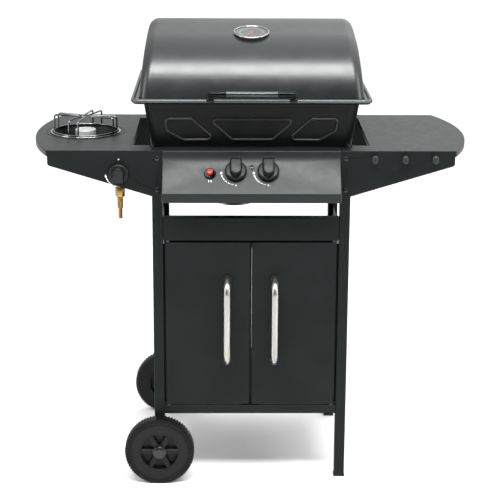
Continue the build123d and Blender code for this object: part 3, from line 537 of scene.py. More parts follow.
def at_spots(item, spots, turn, finish):
    """An item set at each spot with one turn."""
    host = bpy.data.meshes.new("spots_host")
    host.from_pydata([tuple(spot) for spot in spots], [], [])
    return grown(host, SPOTS_TREE, {"Turn": tuple(turn), "Finish": finish}, item)


def swept(points, radius, finish, closed=False, corner=0.004, sides=12):
    """A round wire or bead along straight runs with rounded corners."""
    curve = bpy.data.curves.new("path", "CURVE")
    curve.dimensions = "3D"
    spline = curve.splines.new("POLY")
    spline.points.add(len(points) - 1)
    for knot, point in zip(spline.points, points):
        knot.co = (*point, 1.0)
    spline.use_cyclic_u = closed
    values = {"Radius": radius, "Corner": corner, "Sides": sides, "Finish": finish}
    return smoothed(grown(curve, SWEEP_TREE, values), 50)


# --- Finishes -------------------------------------------------------------------------------------


def tone(code):
    """A hex shade as linear light."""
    parts = [int(code[i : i + 2], 16) / 255 for i in (1, 3, 5)]
    linear = [p / 12.92 if p <= 0.04045 else ((p + 0.055) / 1.055) ** 2.4 for p in parts]
    return (*linear, 1.0)


def new_finish(name, **fixed):
    """A material with the values that are the same all over it set on the shader itself."""
    material = bpy.data.materials.new(name)
    material.use_nodes = True
    tree = material.node_tree
    shader = tree.nodes["Principled BSDF"]
    for label, value in fixed.items():
        shader.inputs[label.replace("_", " ")].default_value = value
    return material, tree, shader


NOISE_ROUGHNESS = 0.55


def grain(tree, scale, detail=3.0, stretch=(1, 1, 1)):
    """Noise in the object's own coordinates, stretched along an axis if asked."""
    coordinates = tree.nodes.new("ShaderNodeTexCoord")
    mapping = tree.nodes.new("ShaderNodeMapping")
    mapping.inputs["Scale"].default_value = stretch
    noise = tree.nodes.new("ShaderNodeTexNoise")
    noise.inputs["Scale"].default_value = scale
    noise.inputs["Detail"].default_value = detail
    noise.inputs["Roughness"].default_value = NOISE_ROUGHNESS
    link(coordinates.outputs["Object"], mapping.inputs["Vector"])
    link(mapping.outputs["Vector"], noise.inputs["Vector"])
    return noise.outputs["Fac"]


def spread(tree, source, stops):
    """A colour ramp over a source."""
    ramp = tree.nodes.new("ShaderNodeValToRGB")
    elements = ramp.color_ramp.elements
    elements[0].position, elements[0].color = stops[0]
    elements[1].position, elements[1].color = stops[-1]
    for position, colour in stops[1:-1]:
        extra = elements.new(position)
        extra.color = colour
    link(source, ramp.inputs["Fac"])
    return ramp.outputs["Color"]


def between(tree, source, low, high, start=0.3, end=0.7):
    """A source mapped to a range of values."""
    scale = tree.nodes.new("ShaderNodeMapRange")
    scale.inputs["From Min"].default_value = start
    scale.inputs["From Max"].default_value = end
    scale.inputs["To Min"].default_value = low
    scale.inputs["To Max"].default_value = high
    link(source, scale.inputs["Value"])
    return scale.outputs["Result"]


def relief(tree, shader, source, strength, distance):
    """Bump from a height source."""
    bump = tree.nodes.new("ShaderNodeBump")
    bump.inputs["Strength"].default_value = strength
    bump.inputs["Distance"].default_value = distance
    link(source, bump.inputs["Height"])
    link(bump.outputs["Normal"], shader.inputs["Normal"])
    return bump


def tinted(tree, shader, source, dark, light, start=0.3, end=0.7):
    """Colours a shader between two shades along a source."""
    colours = spread(tree, source, [(start, tone(dark)), (end, tone(light))])
    link(colours, shader.inputs["Base Color"])


def sheened(tree, shader, source, low, high, start=0.3, end=0.7):
    """Varies a shader's roughness along a source."""
    link(between(tree, source, low, high, start, end), shader.inputs["Roughness"])


def powder_coat(name, dark, light, low=0.36, high=0.5, scale=1100.0, strength=0.25, gloss=0.14):
    """Baked powder paint: a fine orange peel, faint clouding and small changes in sheen."""
    material, tree, shader = new_finish(name, Metallic=0.0, Specular_IOR_Level=gloss)
    tinted(tree, shader, grain(tree, 9.0), dark, light)
    sheened(tree, shader, grain(tree, 55.0, 2.0), low, high, 0.1, 0.9)
    relief(tree, shader, grain(tree, scale, 2.0), strength, 0.0002)
    return material


def lid_enamel():
    """The lid's satin charcoal enamel."""
    material, tree, shader = new_finish("lid_enamel", Metallic=0.0, Specular_IOR_Level=0.58)
    tinted(tree, shader, grain(tree, 5.0, 4.0), "#0f1213", "#151819")
    sheened(tree, shader, grain(tree, 26.0, 4.0), 0.28, 0.35)
    relief(tree, shader, grain(tree, 900.0, 2.0), 0.12, 0.00015)
    return material


def brushed(name, dark, light, stretch, low, high):
    """Brushed metal with streaks along one axis."""
    material, tree, shader = new_finish(name, Metallic=1.0)
    streaks = grain(tree, 260.0, 4.0, stretch)
    tinted(tree, shader, streaks, dark, light, 0.32, 0.68)
    sheened(tree, shader, streaks, low, high)
    relief(tree, shader, streaks, 0.12, 0.0001)
    return material


def polished(name, dark, light, low=0.06, high=0.16):
    """Plated or polished metal with light handling marks."""
    material, tree, shader = new_finish(name, Metallic=1.0)
    tinted(tree, shader, grain(tree, 24.0, 5.0), dark, light)
    sheened(tree, shader, grain(tree, 90.0, 6.0), low, high)
    relief(tree, shader, grain(tree, 420.0), 0.04, 0.0001)
    return material


def moulded(name, dark, light, low=0.38, high=0.5, scale=1500.0, strength=0.2):
    """Moulded plastic with a spark-eroded grain."""
    material, tree, shader = new_finish(name, Metallic=0.0, Specular_IOR_Level=0.22)
    tinted(tree, shader, grain(tree, 30.0), dark, light)
    sheened(tree, shader, grain(tree, 210.0), low, high)
    relief(tree, shader, grain(tree, scale, 2.0), strength, 0.00015)
    return material


def cast_finish(name, dark, light, low=0.55, high=0.75):
    """Cast metal with a sandy skin."""
    material, tree, shader = new_finish(name, Metallic=0.35)
    tinted(tree, shader, grain(tree, 60.0, 6.0), dark, light)
    sheened(tree, shader, grain(tree, 120.0, 4.0), low, high)
    relief(tree, shader, grain(tree, 650.0, 5.0), 0.55, 0.0004)
    return material


def galvanised():
    """Zinc-dipped sheet with its crystal spangle."""
    material, tree, shader = new_finish("galvanised", Metallic=0.95)
    coordinates = tree.nodes.new("ShaderNodeTexCoord")
    cells = tree.nodes.new("ShaderNodeTexVoronoi")
    cells.inputs["Scale"].default_value = 95.0
    link(coordinates.outputs["Object"], cells.inputs["Vector"])
    split = tree.nodes.new("ShaderNodeSeparateColor")
    link(cells.outputs["Color"], split.inputs["Color"])
    tinted(tree, shader, split.outputs[0], "#8d9396", "#b9bfc1", 0.1, 0.9)
    sheened(tree, shader, split.outputs[1], 0.3, 0.48, 0.0, 1.0)
    relief(tree, shader, split.outputs[2], 0.05, 0.0002)
    return material


def printed(name, code):
    """Screen-printed ink, slightly uneven."""
    material, tree, shader = new_finish(name, Roughness=0.5, Specular_IOR_Level=0.15)
    base = tone(code)
    worn = (*(part * 0.9 for part in base[:3]), 1.0)
    shade = spread(tree, grain(tree, 400.0), [(0.3, worn), (0.7, base)])
    link(shade, shader.inputs["Base Color"])
    relief(tree, shader, grain(tree, 900.0, 2.0), 0.05, 0.0001)
    return material


def clear_glass():
    """The thermometer's glass."""
    material, tree, shader = new_finish("clear_glass", Transmission_Weight=1.0, IOR=1.12)
    sheened(tree, shader, grain(tree, 60.0), 0.01, 0.05)
    shader.inputs["Base Color"].default_value = (0.95, 0.97, 0.97, 1)
    return material


def floor_finish():
    """A pale seamless floor."""
    material, tree, shader = new_finish("pale_floor", Roughness=0.9)
    pale, paler = (0.86, 0.86, 0.86, 1), (0.88, 0.88, 0.88, 1)
    shade = spread(tree, grain(tree, 3.0), [(0.3, pale), (0.7, paler)])
    link(shade, shader.inputs["Base Color"])
    return material


BLACK = powder_coat("black_powder", "#0c0f0f", "#121515", 0.4, 0.54)
SATIN_BLACK = powder_coat("satin_black", "#0e1010", "#131515", 0.34, 0.46)
PANEL_GREY = powder_coat("panel_paint", "#121515", "#171b1b", 0.34, 0.46, gloss=0.3)
SHELF_GREY = powder_coat("shelf_paint", "#101313", "#161919", 0.34, 0.46, 900.0, 0.35, 0.26)
FIREBOX_BLACK = powder_coat("firebox_paint", "#050606", "#080909", 0.36, 0.5, 700.0, 0.35, 0.12)
LID_ENAMEL = lid_enamel()
# A lighter copy of the lid's enamel for the lip bead: a painted highlight along the lid's lip.
LIP_PAINTED_HIGHLIGHT = powder_coat("lip_enamel_painted_highlight", "#2b2e2f", "#343738", 0.26, 0.34, 900.0, 0.12, 0.7)
# A lighter copy of the firebox paint for the pressed ridges: a painted highlight on them.
RIDGE_PAINTED_HIGHLIGHT = powder_coat("ridge_painted_highlight", "#0a0c0c", "#0f1111", 0.28, 0.38, 700.0, 0.2, 0.3)
KNOB_BLACK = moulded("knob_plastic", "#0a0b0b", "#0f1111", 0.3, 0.42)
GLOSS_BLACK = polished("gloss_black", "#17191a", "#202324", 0.1, 0.18)
KNOB_GREY = moulded("knob_grip", "#181a1b", "#202324", 0.32, 0.45)
WHEEL_BLACK = moulded("wheel_plastic", "#070807", "#0c0d0c", 0.36, 0.48, 900.0, 0.3)
PEG_GREY = moulded("peg_finish", "#1d2021", "#282b2c", 0.25, 0.36)
CAP_BLACK = powder_coat("cap_plastic", "#060707", "#0b0c0c", 0.16, 0.24, 900.0, 0.1, 0.5)
# Near-black plastic for the wheel's rim bed: painted shade in the gaps between the tread blocks.
GROOVE_PAINTED_SHADE = moulded("groove_shade", "#020202", "#040404", 0.6, 0.7)
SCREW_DARK = polished("dark_screw", "#33373a", "#434749", 0.24, 0.36)
GRIP_STEEL = brushed("brushed_steel_up", "#8b8a85", "#b4b3ac", (1, 1, 0.04), 0.24, 0.38)
BAR_STEEL = brushed("brushed_steel_across", "#2f3132", "#4c4f50", (0.04, 1, 1), 0.26, 0.4)
ZINC = polished("zinc_steel", "#9ba0a3", "#b9bdbf", 0.25, 0.4)
CHROME = polished("chrome", "#a0a3a4", "#babdbe", 0.05, 0.13)
CAST_IRON = cast_finish("cast_iron", "#1c1b1a", "#2b2927")
ALUMINIUM = cast_finish("cast_aluminium", "#8b8e8f", "#a9acad", 0.4, 0.55)
WIRE_CHROME = polished("wire_chrome", "#5f6263", "#7b7e7f", 0.08, 0.18)
CAP_STEEL = cast_finish("burner_cap_metal", "#a2a4a4", "#bcbebe", 0.28, 0.4)
BRASS = polished("brass", "#8c6f3e", "#a88a54", 0.16, 0.3)
RUBBER = moulded("rubber", "#141414", "#1c1c1c", 0.6, 0.75)
RED = moulded("red_plastic", "#b02818", "#c83222", 0.25, 0.35)
GALVANISED = galvanised()
WHITE_INK = printed("white_print", "#e4e6e6")
PALE_INK = printed("pale_print", "#9ba09f")
RED_INK = printed("red_print", "#c23a2c")
DARK_INK = printed("dark_print", "#0c0d0d")
DIAL_GREY = printed("dial_face", "#45494a")
GLASS = clear_glass()


# --- Sheet metal: legs, cabinet, shelves, panels --------------------------------------------------


def sheet_parts():
    """The folded and welded parts of the frame, cabinet and shelves."""
    panels = ("frame_rails", "bottom_shelf", "side_panels", "header_panel", "rear_brackets")
    batches = (
        (("leg_front_left", "leg_front_right", "rear_legs"), "black_paint", BLACK, 0.0022, 0.0005),
        (panels, "black_paint", BLACK, 0.0016, 0.0004),
        (("door_left", "door_right"), "black_paint", BLACK, 0.002, 0.0005),
        (("leg_caps",), "cap_plastic", CAP_BLACK, 0.0012, 0.0008),
        (("control_panel",), "panel_paint", PANEL_GREY, 0.0022, 0.0),
        (("fascia_left", "fascia_right"), "black_paint", BLACK, 0.002, 0.0004),
        (("shelf_left", "shelf_right"), "shelf_paint", SHELF_GREY, 0.0022, 0.0004),
        (("hinge_brackets", "lid_hinges"), "zinc_steel", ZINC, 0.001, 0.0004),
        (("door_catches",), "black_paint", BLACK, 0.001, 0.0004),
    )
    for nodes, slot, material, fold, edge in batches:
        for node in nodes:
            refined(node, slot, material, fold, edge)


def shelf_corners():
    """Small welded gussets that close each shelf's front corner between its edge and the fascia."""
    for side, sign in (("left", -1), ("right", 1)):
        fascia_low, fascia_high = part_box(f"fascia_{side}")
        shelf_low, shelf_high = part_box(f"shelf_{side}")
        end = fascia_low.x if sign < 0 else fascia_high.x
        front = shelf_low.y
        near, far = sorted((end - sign * 0.001, end + sign * 0.0027))
        outline = [(near, front), (far, front + 0.0002)]
        outline += [(far, front + 0.0016), (near, front + 0.0014)]
        gusset = prism(outline, shelf_low.z, shelf_high.z - 0.0012, Matrix(), 0.0002)
        finished(f"shelf_{side}_gusset", gusset, "frame", "shelf_paint", SHELF_GREY)


def door_strip():
    """A rubber strip on the left door's edge that closes the gap between the doors."""
    low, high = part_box("door_left")
    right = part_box("door_right")[0].x
    outline = box_outline(high.x - 0.0004, high.y - 0.004, right - 0.0003, high.y - 0.0015)
    strip = prism(outline, low.z + 0.002, high.z - 0.002, Matrix(), 0.0003)
    finished("door_edge_strip", strip, BODY_OF["door_left"], "rubber", RUBBER)


LIP_THICKNESS = 0.0012


def door_stops():
    """Narrow folded lips behind the doors' top and outer edges, where the closed doors rest."""
    low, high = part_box("door_left")
    leg_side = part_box("leg_front_left")[1].x
    upright = place((0, high.y + 0.0018, 0), X_AXIS, -Y_AXIS)
    outlines = [box_outline(low.x, high.z - 0.006, -low.x, high.z + 0.0065)]
    for sign in (-1, 1):
        inner, outer = sign * (abs(low.x) - 0.003), sign * (abs(leg_side) + 0.0002)
        outlines.append(box_outline(inner, low.z, outer, high.z - 0.007))
    made = [prism(outline, -LIP_THICKNESS, 0.0, upright, 0.0003) for outline in outlines]
    finished("door_stops", joined(made, "stops"), "frame", "black_paint", BLACK)


def cross_screw(radius, height):
    """A pan-head screw with a cross recess, standing on its origin and pointing along Z."""
    profile = [(0, -0.0004), (radius, -0.0004), (radius, height * 0.5), (0, height)]
    head = turned(profile, Matrix(), 24, rounding=height * 0.6)
    arm = radius * 0.62
    thick = radius * 0.16
    cross = []
    for x, y in ((arm, thick), (thick, arm)):
        cross.append(prism(box_outline(-x, -y, x, y), height * 0.2, height * 0.97, Matrix()))
    return head, joined(cross, "cross")


def panel_screws():
    """Cross-head screws on the control panel and the two fascias."""
    slope = Vector(JOINT["knob_left_turn"]["axis"])
    spots = {"fascia": [], "slope": []}
    for spot in clusters("panel_screws", 0.02):
        spots["slope" if abs(spot.x) < 0.1 else "fascia"].append(spot)
    made = []
    for name, way in (("fascia", -Y_AXIS), ("slope", slope)):
        turn = place((0, 0, 0), X_AXIS, way).to_euler()
        head, cross = cross_screw(0.0054, 0.0026)
        made.append(smoothed(at_spots(head, spots[name], turn, SCREW_DARK)))
        made.append(at_spots(cross, spots[name], turn, DARK_INK))
    remade("panel_screws", joined(made, "panel_screws"), "zinc_steel", None)


def hook_pegs():
    """Three turned pegs with round heads on the right fascia."""
    low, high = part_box("hook_pegs")
    length = high.y - low.y
    radius = (high.z - low.z) / 2
    made = []
    for spot in clusters("hook_pegs", 0.03):
        profile = [(0, 0), (radius * 0.5, 0), (radius * 0.5, length * 0.62), (radius, length * 0.7)]
        profile += [(radius, length * 0.9), (radius * 0.6, length), (0, length)]
        where = place((spot.x, high.y, spot.z), X_AXIS, -Y_AXIS)
        made.append(turned(profile, where, 32, rounding=0.0015))
    remade("hook_pegs", joined(made, "pegs"), "zinc_steel", PEG_GREY)


# --- Firebox and grates ---------------------------------------------------------------------------


WALL_FOOT_Y, WALL_FOOT_Z = -0.1625, 0.8288
WALL_RUN, WALL_RISE = 0.04, 0.1142
RIDGE_PROUD = 0.0006
RIDGE_RADIUS = 0.0036


def front_wall_y(z):
    """Where the firebox's sloping front wall is at a height, on its outer face."""
    return WALL_FOOT_Y - WALL_RUN * (z - WALL_FOOT_Z) / WALL_RISE


def ridge(points):
    """A pressed ridge on the front wall, through x and z pairs."""
    path = [(x, front_wall_y(z) - RIDGE_PROUD, z) for x, z in points]
    # The ridge's lighter paint is a painted highlight on the firebox's own sheet.
    made = swept(path, RIDGE_RADIUS, RIDGE_PAINTED_HIGHLIGHT, closed=True, corner=0.008)
    return smoothed(made, 60)


def firebox():
    """The firebox, its folds rounded, and the three pressed ridges on its front, whose lighter paint is a painted
    highlight.
    """
    centre = [(-0.1, 0.902), (0.103, 0.902), (0.0505, 0.850), (-0.0455, 0.850)]
    side = [(0.202, 0.903), (0.140, 0.903), (0.0855, 0.850), (0.160, 0.849), (0.199, 0.873)]
    mirrored = [(-x, z) for x, z in side]
    ridges = joined([ridge(centre), ridge(side), ridge(mirrored)], "ridges")
    finished("firebox_ridges", ridges, "frame", "firebox_paint", RIDGE_PAINTED_HIGHLIGHT)
    refined("firebox", "firebox_paint", FIREBOX_BLACK, 0.003, 0.0005)


# --- Lid ------------------------------------------------------------------------------------------


def lid():
    """The lid shell and a rolled bead along its lip, whose lighter enamel is a painted highlight."""
    low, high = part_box("lid_shell")
    inset = 0.003
    corners = box_outline(low.x + inset, low.y + inset, high.x - inset, high.y - inset)
    path = [(x, y, low.z + 0.0042) for x, y in corners]
    # The bead's lighter enamel paints the highlight where the lip faces up.
    bead = swept(path, 0.0044, LIP_PAINTED_HIGHLIGHT, closed=True, corner=0.014, sides=14)
    finished("lid_lip_bead", bead, "lid", "lid_paint", LIP_PAINTED_HIGHLIGHT)
    refined("lid_shell", "lid_paint", LID_ENAMEL, 0.002, 0.0005)


def handle_mounts(centre, half):
    """The two black arms that carry the bar, each from a foot on the lip out to the bar's end."""
    low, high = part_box("lid_handle_mounts")
    made = []
    for side in (-1, 1):
        x = centre.x + side * (half - 0.0075)
        points = [(x, high.y - 0.012, low.z + 0.006), (x, centre.y + 0.017, low.z + 0.006)]
        points += [(x, centre.y + 0.003, centre.z - 0.004), (x, centre.y, centre.z)]
        made.append(swept(points, 0.0048, KNOB_BLACK, corner=0.006, sides=16))
        foot = box_outline(-0.009, -0.007, 0.009, 0.006)
        where = Matrix.Translation((x, high.y - 0.016, low.z))
        made.append(prism(foot, 0.0, 0.008, where, 0.0018))
    mounts = joined(made, "mounts")
    remade("lid_handle_mounts", mounts, "knob_plastic", KNOB_BLACK)


def lid_handle():
    """The lid handle: a brushed bar between two tapered black grips."""
    low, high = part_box("lid_handle_bar")
    centre = (low + high) / 2
    radius = (high.z - low.z) / 2
    mounts_low, mounts_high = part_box("lid_handle_mounts")
    half = (mounts_high.x - mounts_low.x) / 2
    bar = half * 0.58
    where = place(centre, Y_AXIS, X_AXIS)
    steel = turned(box_outline(0, -bar, radius, bar), where, 48, rounding=0.0008)
    remade("lid_handle_bar", steel, "brushed_steel", BAR_STEEL)
    ends = []
    for side in (-1, 1):
        profile = [(0, bar - 0.001), (radius * 1.15, bar - 0.001), (radius * 1.15, bar + 0.005)]
        profile += [(radius * 1.02, bar + 0.018), (radius * 0.85, half * 0.95)]
        profile += [(radius * 0.4, half), (0, half)]
        way = place(centre, Y_AXIS, X_AXIS * side)
        ends.append(turned(profile, way, 48, rounding=0.002))
    finished("lid_handle_ends", joined(ends, "ends"), "lid", "knob_plastic", GLOSS_BLACK)
    handle_mounts(centre, half)


def dial_place():
    """The thermometer's own axes: X to the right, Y up its face and Z out of it."""
    low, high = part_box("thermometer_dial")
    return place((low + high) / 2, X_AXIS, -Vector(JOINT["pointer_turn"]["axis"]))


def thermometer():
    """The thermometer: a black case, a plated bezel, the dial, its pointer and its glass."""
    where = dial_place()
    case = own_points("thermometer_case", where)
    top = max(point.z for point in case)
    foot = max(min(point.z for point in case), -0.014)
    outer = widest(case)
    face = reach_along("thermometer_dial", where)[1]
    inner = widest(own_points("thermometer_dial", where)) + 0.0006
    seat = top - 0.0022
    profile = [(inner, foot), (outer, foot), (outer, seat), (inner + 0.0004, seat)]
    body = turned(profile, where, FINE_TURN, ring=True, rounding=0.0006)
    remade("thermometer_case", body, "black_paint", SATIN_BLACK)
    lip = [(inner - 0.0002, top - 0.0024), (outer + 0.0004, top - 0.0024)]
    lip += [(outer + 0.0004, top - 0.0006), (outer - 0.0008, top + 0.0002)]
    lip += [(inner + 0.0008, top + 0.0002), (inner - 0.0002, top - 0.0008)]
    bezel = turned(lip, where, FINE_TURN, ring=True, rounding=0.0006)
    finished("thermometer_bezel", bezel, "lid", "chrome", CHROME)
    dial(where, face)
    refined("thermometer_pointer", "red_plastic", RED, 0.0004, 0.0002, 2)
    dress("thermometer_glass", GLASS)


DIAL_TICKS = 28
DIAL_START = math.radians(-45)
TICK_STEP = math.radians(10)


def dial(where, face):
    """The dial's plate, its ticks and its scale, whose last stretch is red."""
    radius = widest(own_points("thermometer_dial", where))
    under = reach_along("thermometer_dial", where)[0]
    plate = turned(box_outline(0, under, radius, face), where, FINE_TURN, rounding=0.0004)
    remade("thermometer_dial", plate, "dial_print", DIAL_GREY)
    on_face = where @ Matrix.Translation((0, 0, face))
    tick = flat_shapes([box_outline(radius * 0.86, -0.0004, radius * 0.96, 0.0004)], Matrix())
    ticks = around(tick, DIAL_TICKS, PALE_INK, DIAL_START, TICK_STEP)
    ticks.transform(on_face)
    finished("dial_ticks", ticks, "lid", "dial_print", PALE_INK)
    zones = []
    for start, end, ink in ((225, 60, PALE_INK), (56, -8, PALE_INK), (-12, -45, RED_INK)):
        band = flat_shapes([arc_band(radius * 0.72, start, end, 0.0022, 0.0022, 24)], on_face)
        band.materials.append(ink)
        zones.append(band)
    finished("dial_zones", joined(zones, "zones"), "lid", "dial_print", None)


# --- Knobs, igniter and print ---------------------------------------------------------------------


FOOT_STEPS = 12
FLUTES = 6


def grip_outline(skirt, share):
    """The knob's grip seen from above, with a broad fluted end at its top and a round foot."""
    half = skirt * 0.58 * share
    top = skirt * 0.9 * share
    low = -skirt * 0.28 * share
    points = [(half, top), (-half, top)]
    for i in range(FOOT_STEPS + 1):
        turn = math.radians(180 + 180 * i / FOOT_STEPS)
        points.append((half * 0.94 * math.cos(turn), low + half * 0.94 * math.sin(turn)))
    return points


def knob_meshes(node, where):
    """A control knob: a dished skirt, a raised grip with a grey top, and flutes at one end."""
    low, high = reach_along(node, where)
    skirt = widest(own_points(node, where))
    shoulder = low + (high - low) * 0.31
    profile = [(0, low), (skirt, low), (skirt * 0.97, shoulder * 0.8)]
    profile += [(skirt * 0.86, shoulder), (0, shoulder + 0.0012)]
    base = turned(profile, where, 72, rounding=0.0016)
    grip = prism(grip_outline(skirt, 1.0), shoulder - 0.001, high - 0.0006, where, 0.0026, 0.12, 4)
    top = prism(grip_outline(skirt, 0.72), high - 0.0012, high, where, 0.0005, 0.04)
    first = Matrix.Translation((-skirt * 0.44, skirt * 0.86, 0))
    flute = prism(disc(skirt * 0.055, steps=8), shoulder, high + 0.0002, first, 0.0004)
    flutes = in_row(flute, FLUTES, (skirt * 0.176, 0, 0), KNOB_BLACK)
    flutes.transform(where)
    meshes = [base, grip, top, flutes]
    for mesh in meshes:
        mesh.materials.clear()
        mesh.materials.append(KNOB_GREY if mesh is top else KNOB_BLACK)
    return meshes


def knob_place(side):
    """A knob's axes: X along the panel, Y up its face, Z out of it."""
    turn = JOINT[f"knob_{side}_turn"]
    return place(turn["pos_m"], X_AXIS, turn["axis"])


def knobs():
    """The three gas knobs."""
    for side in ("left", "right", "side"):
        node = f"knob_{side}"
        where = knob_place(side)
        if side == "side":
            where = where @ Matrix.Rotation(math.pi, 4, "Z")
        mesh = joined(knob_meshes(node, where), node)
        remade(node, mesh, "knob_plastic", None)


FLAME_STEPS = 20
DASHES = 5
MARK_RADIUS = 0.034
DOT_RADIUS = 0.0016


def flame(centre, size):
    """A plain teardrop flame outline."""
    points = []
    for i in range(FLAME_STEPS):
        turn = 2 * math.pi * i / FLAME_STEPS
        rise = math.sin(turn)
        pinch = 1 - 0.55 * max(0.0, rise) ** 2
        x = math.cos(turn) * size * 0.42 * pinch
        y = rise * size * (0.75 if rise > 0 else 0.42)
        points.append(Vector((centre[0] + x, centre[1] + y)))
    return points


def knob_marks():
    """White marks round the knobs: a tapering dashed arc from a flame to a dot."""
    marks = []
    for side in ("left", "right"):
        outlines = []
        for k in range(DASHES):
            start = 192 + 14 * k
            wide = 0.003 - 0.0005 * k
            outlines.append(arc_band(MARK_RADIUS, start + 3, start + 13, wide, wide - 0.0005, 6))
        outlines.append(flame((-MARK_RADIUS, -0.0035), 0.006))
        outlines.append(disc(DOT_RADIUS, (0, -MARK_RADIUS - 0.0015)))
        marks.append(flat_shapes(outlines, knob_place(side)))
    side_outlines = [disc(DOT_RADIUS, (0, 0.0335)), arc_band(0.0315, 195, 245, 0.0026, 0.001, 10)]
    side_outlines.append([(-0.0335, -0.008), (-0.0275, -0.0085), (-0.0312, -0.0025)])
    marks.append(flat_shapes(side_outlines, knob_place("side")))
    finished("knob_marks", joined(marks, "marks"), "frame", "dial_print", WHITE_INK)


def igniter():
    """The igniter: a black bezel, a domed red button and two short white strokes below it."""
    node = "igniter_button"
    low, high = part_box(node)
    middle = (low + high) / 2
    where = place(middle, X_AXIS, -Vector(JOINT["igniter_press"]["axis"]))
    base, top = reach_along(node, where)
    radius = widest(own_points(node, where))
    profile = [(0, base), (radius, base), (radius, top - 0.0022)]
    profile += [(radius * 0.8, top - 0.0006), (0, top)]
    button = turned(profile, where, 48, rounding=0.0012)
    remade(node, button, "red_plastic", RED)
    refined("igniter_body", "knob_plastic", KNOB_BLACK, 0.0012, 0.0006)
    panel = knob_place("left")
    centre = panel.inverted() @ middle
    head = centre.y - 0.0165
    strokes = []
    for x in (centre.x - 0.0028, centre.x + 0.0028):
        strokes.append(box_outline(x - 0.0007, head, x + 0.0007, head - 0.006))
    finished("igniter_marks", flat_shapes(strokes, panel), "frame", "dial_print", WHITE_INK)


# --- Side burner ----------------------------------------------------------------------------------


BURNER_PORTS = 36
SUPPORT_ARMS = 4
FIRST_ARM = math.radians(-17)
WIRE_RADIUS = 0.0022


def side_burner():
    """The side burner: a plated ring, a dark bowl, the head, the cap and the wire pan support."""
    low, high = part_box("burner_bowl")
    centre = Vector(((low.x + high.x) / 2, (low.y + high.y) / 2, 0))
    rim = (high.x - low.x) / 2 - 0.002
    refined("burner_bowl", "black_paint", SATIN_BLACK, 0.0014, 0.0004)
    where = Matrix.Translation(centre)
    top = high.z
    trim = box_outline(rim - 0.0036, top - 0.0012, rim + 0.001, top + 0.001)
    ring = turned(trim, where, FINE_TURN, ring=True, rounding=0.001)
    finished("burner_trim_ring", ring, "frame", "chrome", CHROME)
    bead = box_outline(rim + 0.0085, top - 0.0025, rim + 0.0115, top - 0.0008)
    band = turned(bead, where, FINE_TURN, ring=True, rounding=0.0006)
    finished("burner_shelf_bead", band, "frame", "shelf_paint", SATIN_BLACK)
    cap_low, cap_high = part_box("side_burner_cap")
    radius = (cap_high.x - cap_low.x) / 2
    skirt = cap_low.z - 0.006
    crown = cap_high.z
    profile = [(0, skirt), (radius * 0.93, skirt), (radius, skirt + 0.003)]
    profile += [(radius, crown - 0.0015), (radius * 0.94, crown)]
    profile += [(radius * 0.3, crown - 0.0008), (0, crown - 0.001)]
    cap = turned(profile, where, 72, rounding=0.0012)
    remade("side_burner_cap", cap, "brushed_steel", CAP_STEEL)
    # The ports are dark cast-iron blocks set into the head's side: painted shade standing for the port holes.
    port_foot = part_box("side_burner_head")[1].z - 0.0135
    spot = Matrix.Translation((radius - 0.0032, 0, port_foot))
    port = prism(box_outline(-0.0007, -0.001, 0.0007, 0.001), 0, 0.006, spot)
    ports = around(port, BURNER_PORTS, DARK_INK)
    ports.transform(where)
    finished("side_burner_ports", ports, "frame", "aluminium", CAST_IRON)
    refined("side_burner_head", "aluminium", ALUMINIUM, 0.0014, 0.0005)
    wire_support(centre)


def wire_support(centre):
    """The pan support: a wire ring and four hairpin arms."""
    low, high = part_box("pan_support")
    ring_radius = (high.x - low.x) / 2 - WIRE_RADIUS
    foot = low.z + WIRE_RADIUS
    top = high.z - WIRE_RADIUS
    half = 0.012
    reach = math.sqrt(ring_radius**2 - half**2)
    where = Matrix.Translation(centre)
    ring = turned(disc(WIRE_RADIUS, (ring_radius, foot), 12), where, FINE_TURN, ring=True)
    tip = 0.013
    points = [(reach, -half, foot), (reach, -half, top), (tip, -0.006, top), (tip, 0.006, top)]
    points += [(reach, half, top), (reach, half, foot)]
    arm = swept(points, WIRE_RADIUS, WIRE_CHROME, corner=0.007)
    arms = ring_of(arm, SUPPORT_ARMS, WIRE_CHROME, where, FIRST_ARM, 50)
    support = joined([ring, arms], "support")
    remade("pan_support", support, "chrome", WIRE_CHROME)


BARB_STEP = 0.0046
RIB_STEP = 0.0048


def hose_connector():
    """The brass fitting under the left shelf: a hex nut, a ribbed body and a barbed tail."""
    low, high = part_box("hose_fitting")
    centre = (low + high) / 2
    where = Matrix.Translation((centre.x, centre.y, 0))
    across = (high.x - low.x) / 2
    nut_low = high.z - 0.023
    nut = prism(disc(across, steps=6), nut_low, high.z, where, 0.0008)
    z = low.z
    profile = [(0, z), (0.0042, z)]
    while z < low.z + 0.022:
        profile += [(0.0054, z + 0.001), (0.0054, z + 0.0016), (0.0041, z + 0.0044)]
        z += BARB_STEP
    z = low.z + 0.025
    profile.append((0.0059, z))
    while z < nut_low - 0.004:
        profile += [(0.0075, z + 0.001), (0.0075, z + 0.0026)]
        profile += [(0.0058, z + 0.0032), (0.0058, z + 0.0044)]
        z += RIB_STEP
    profile += [(0.0059, nut_low + 0.001), (0, nut_low + 0.001)]
    body = turned(profile, where, 36, rounding=0.0003)
    remade("hose_fitting", joined([nut, body], "fitting"), "brass", BRASS)


# --- Wheels ---------------------------------------------------------------------------------------


TREAD_LUGS = 68
WHEEL_SPOKES = 6
WHEEL_HOLES = 4


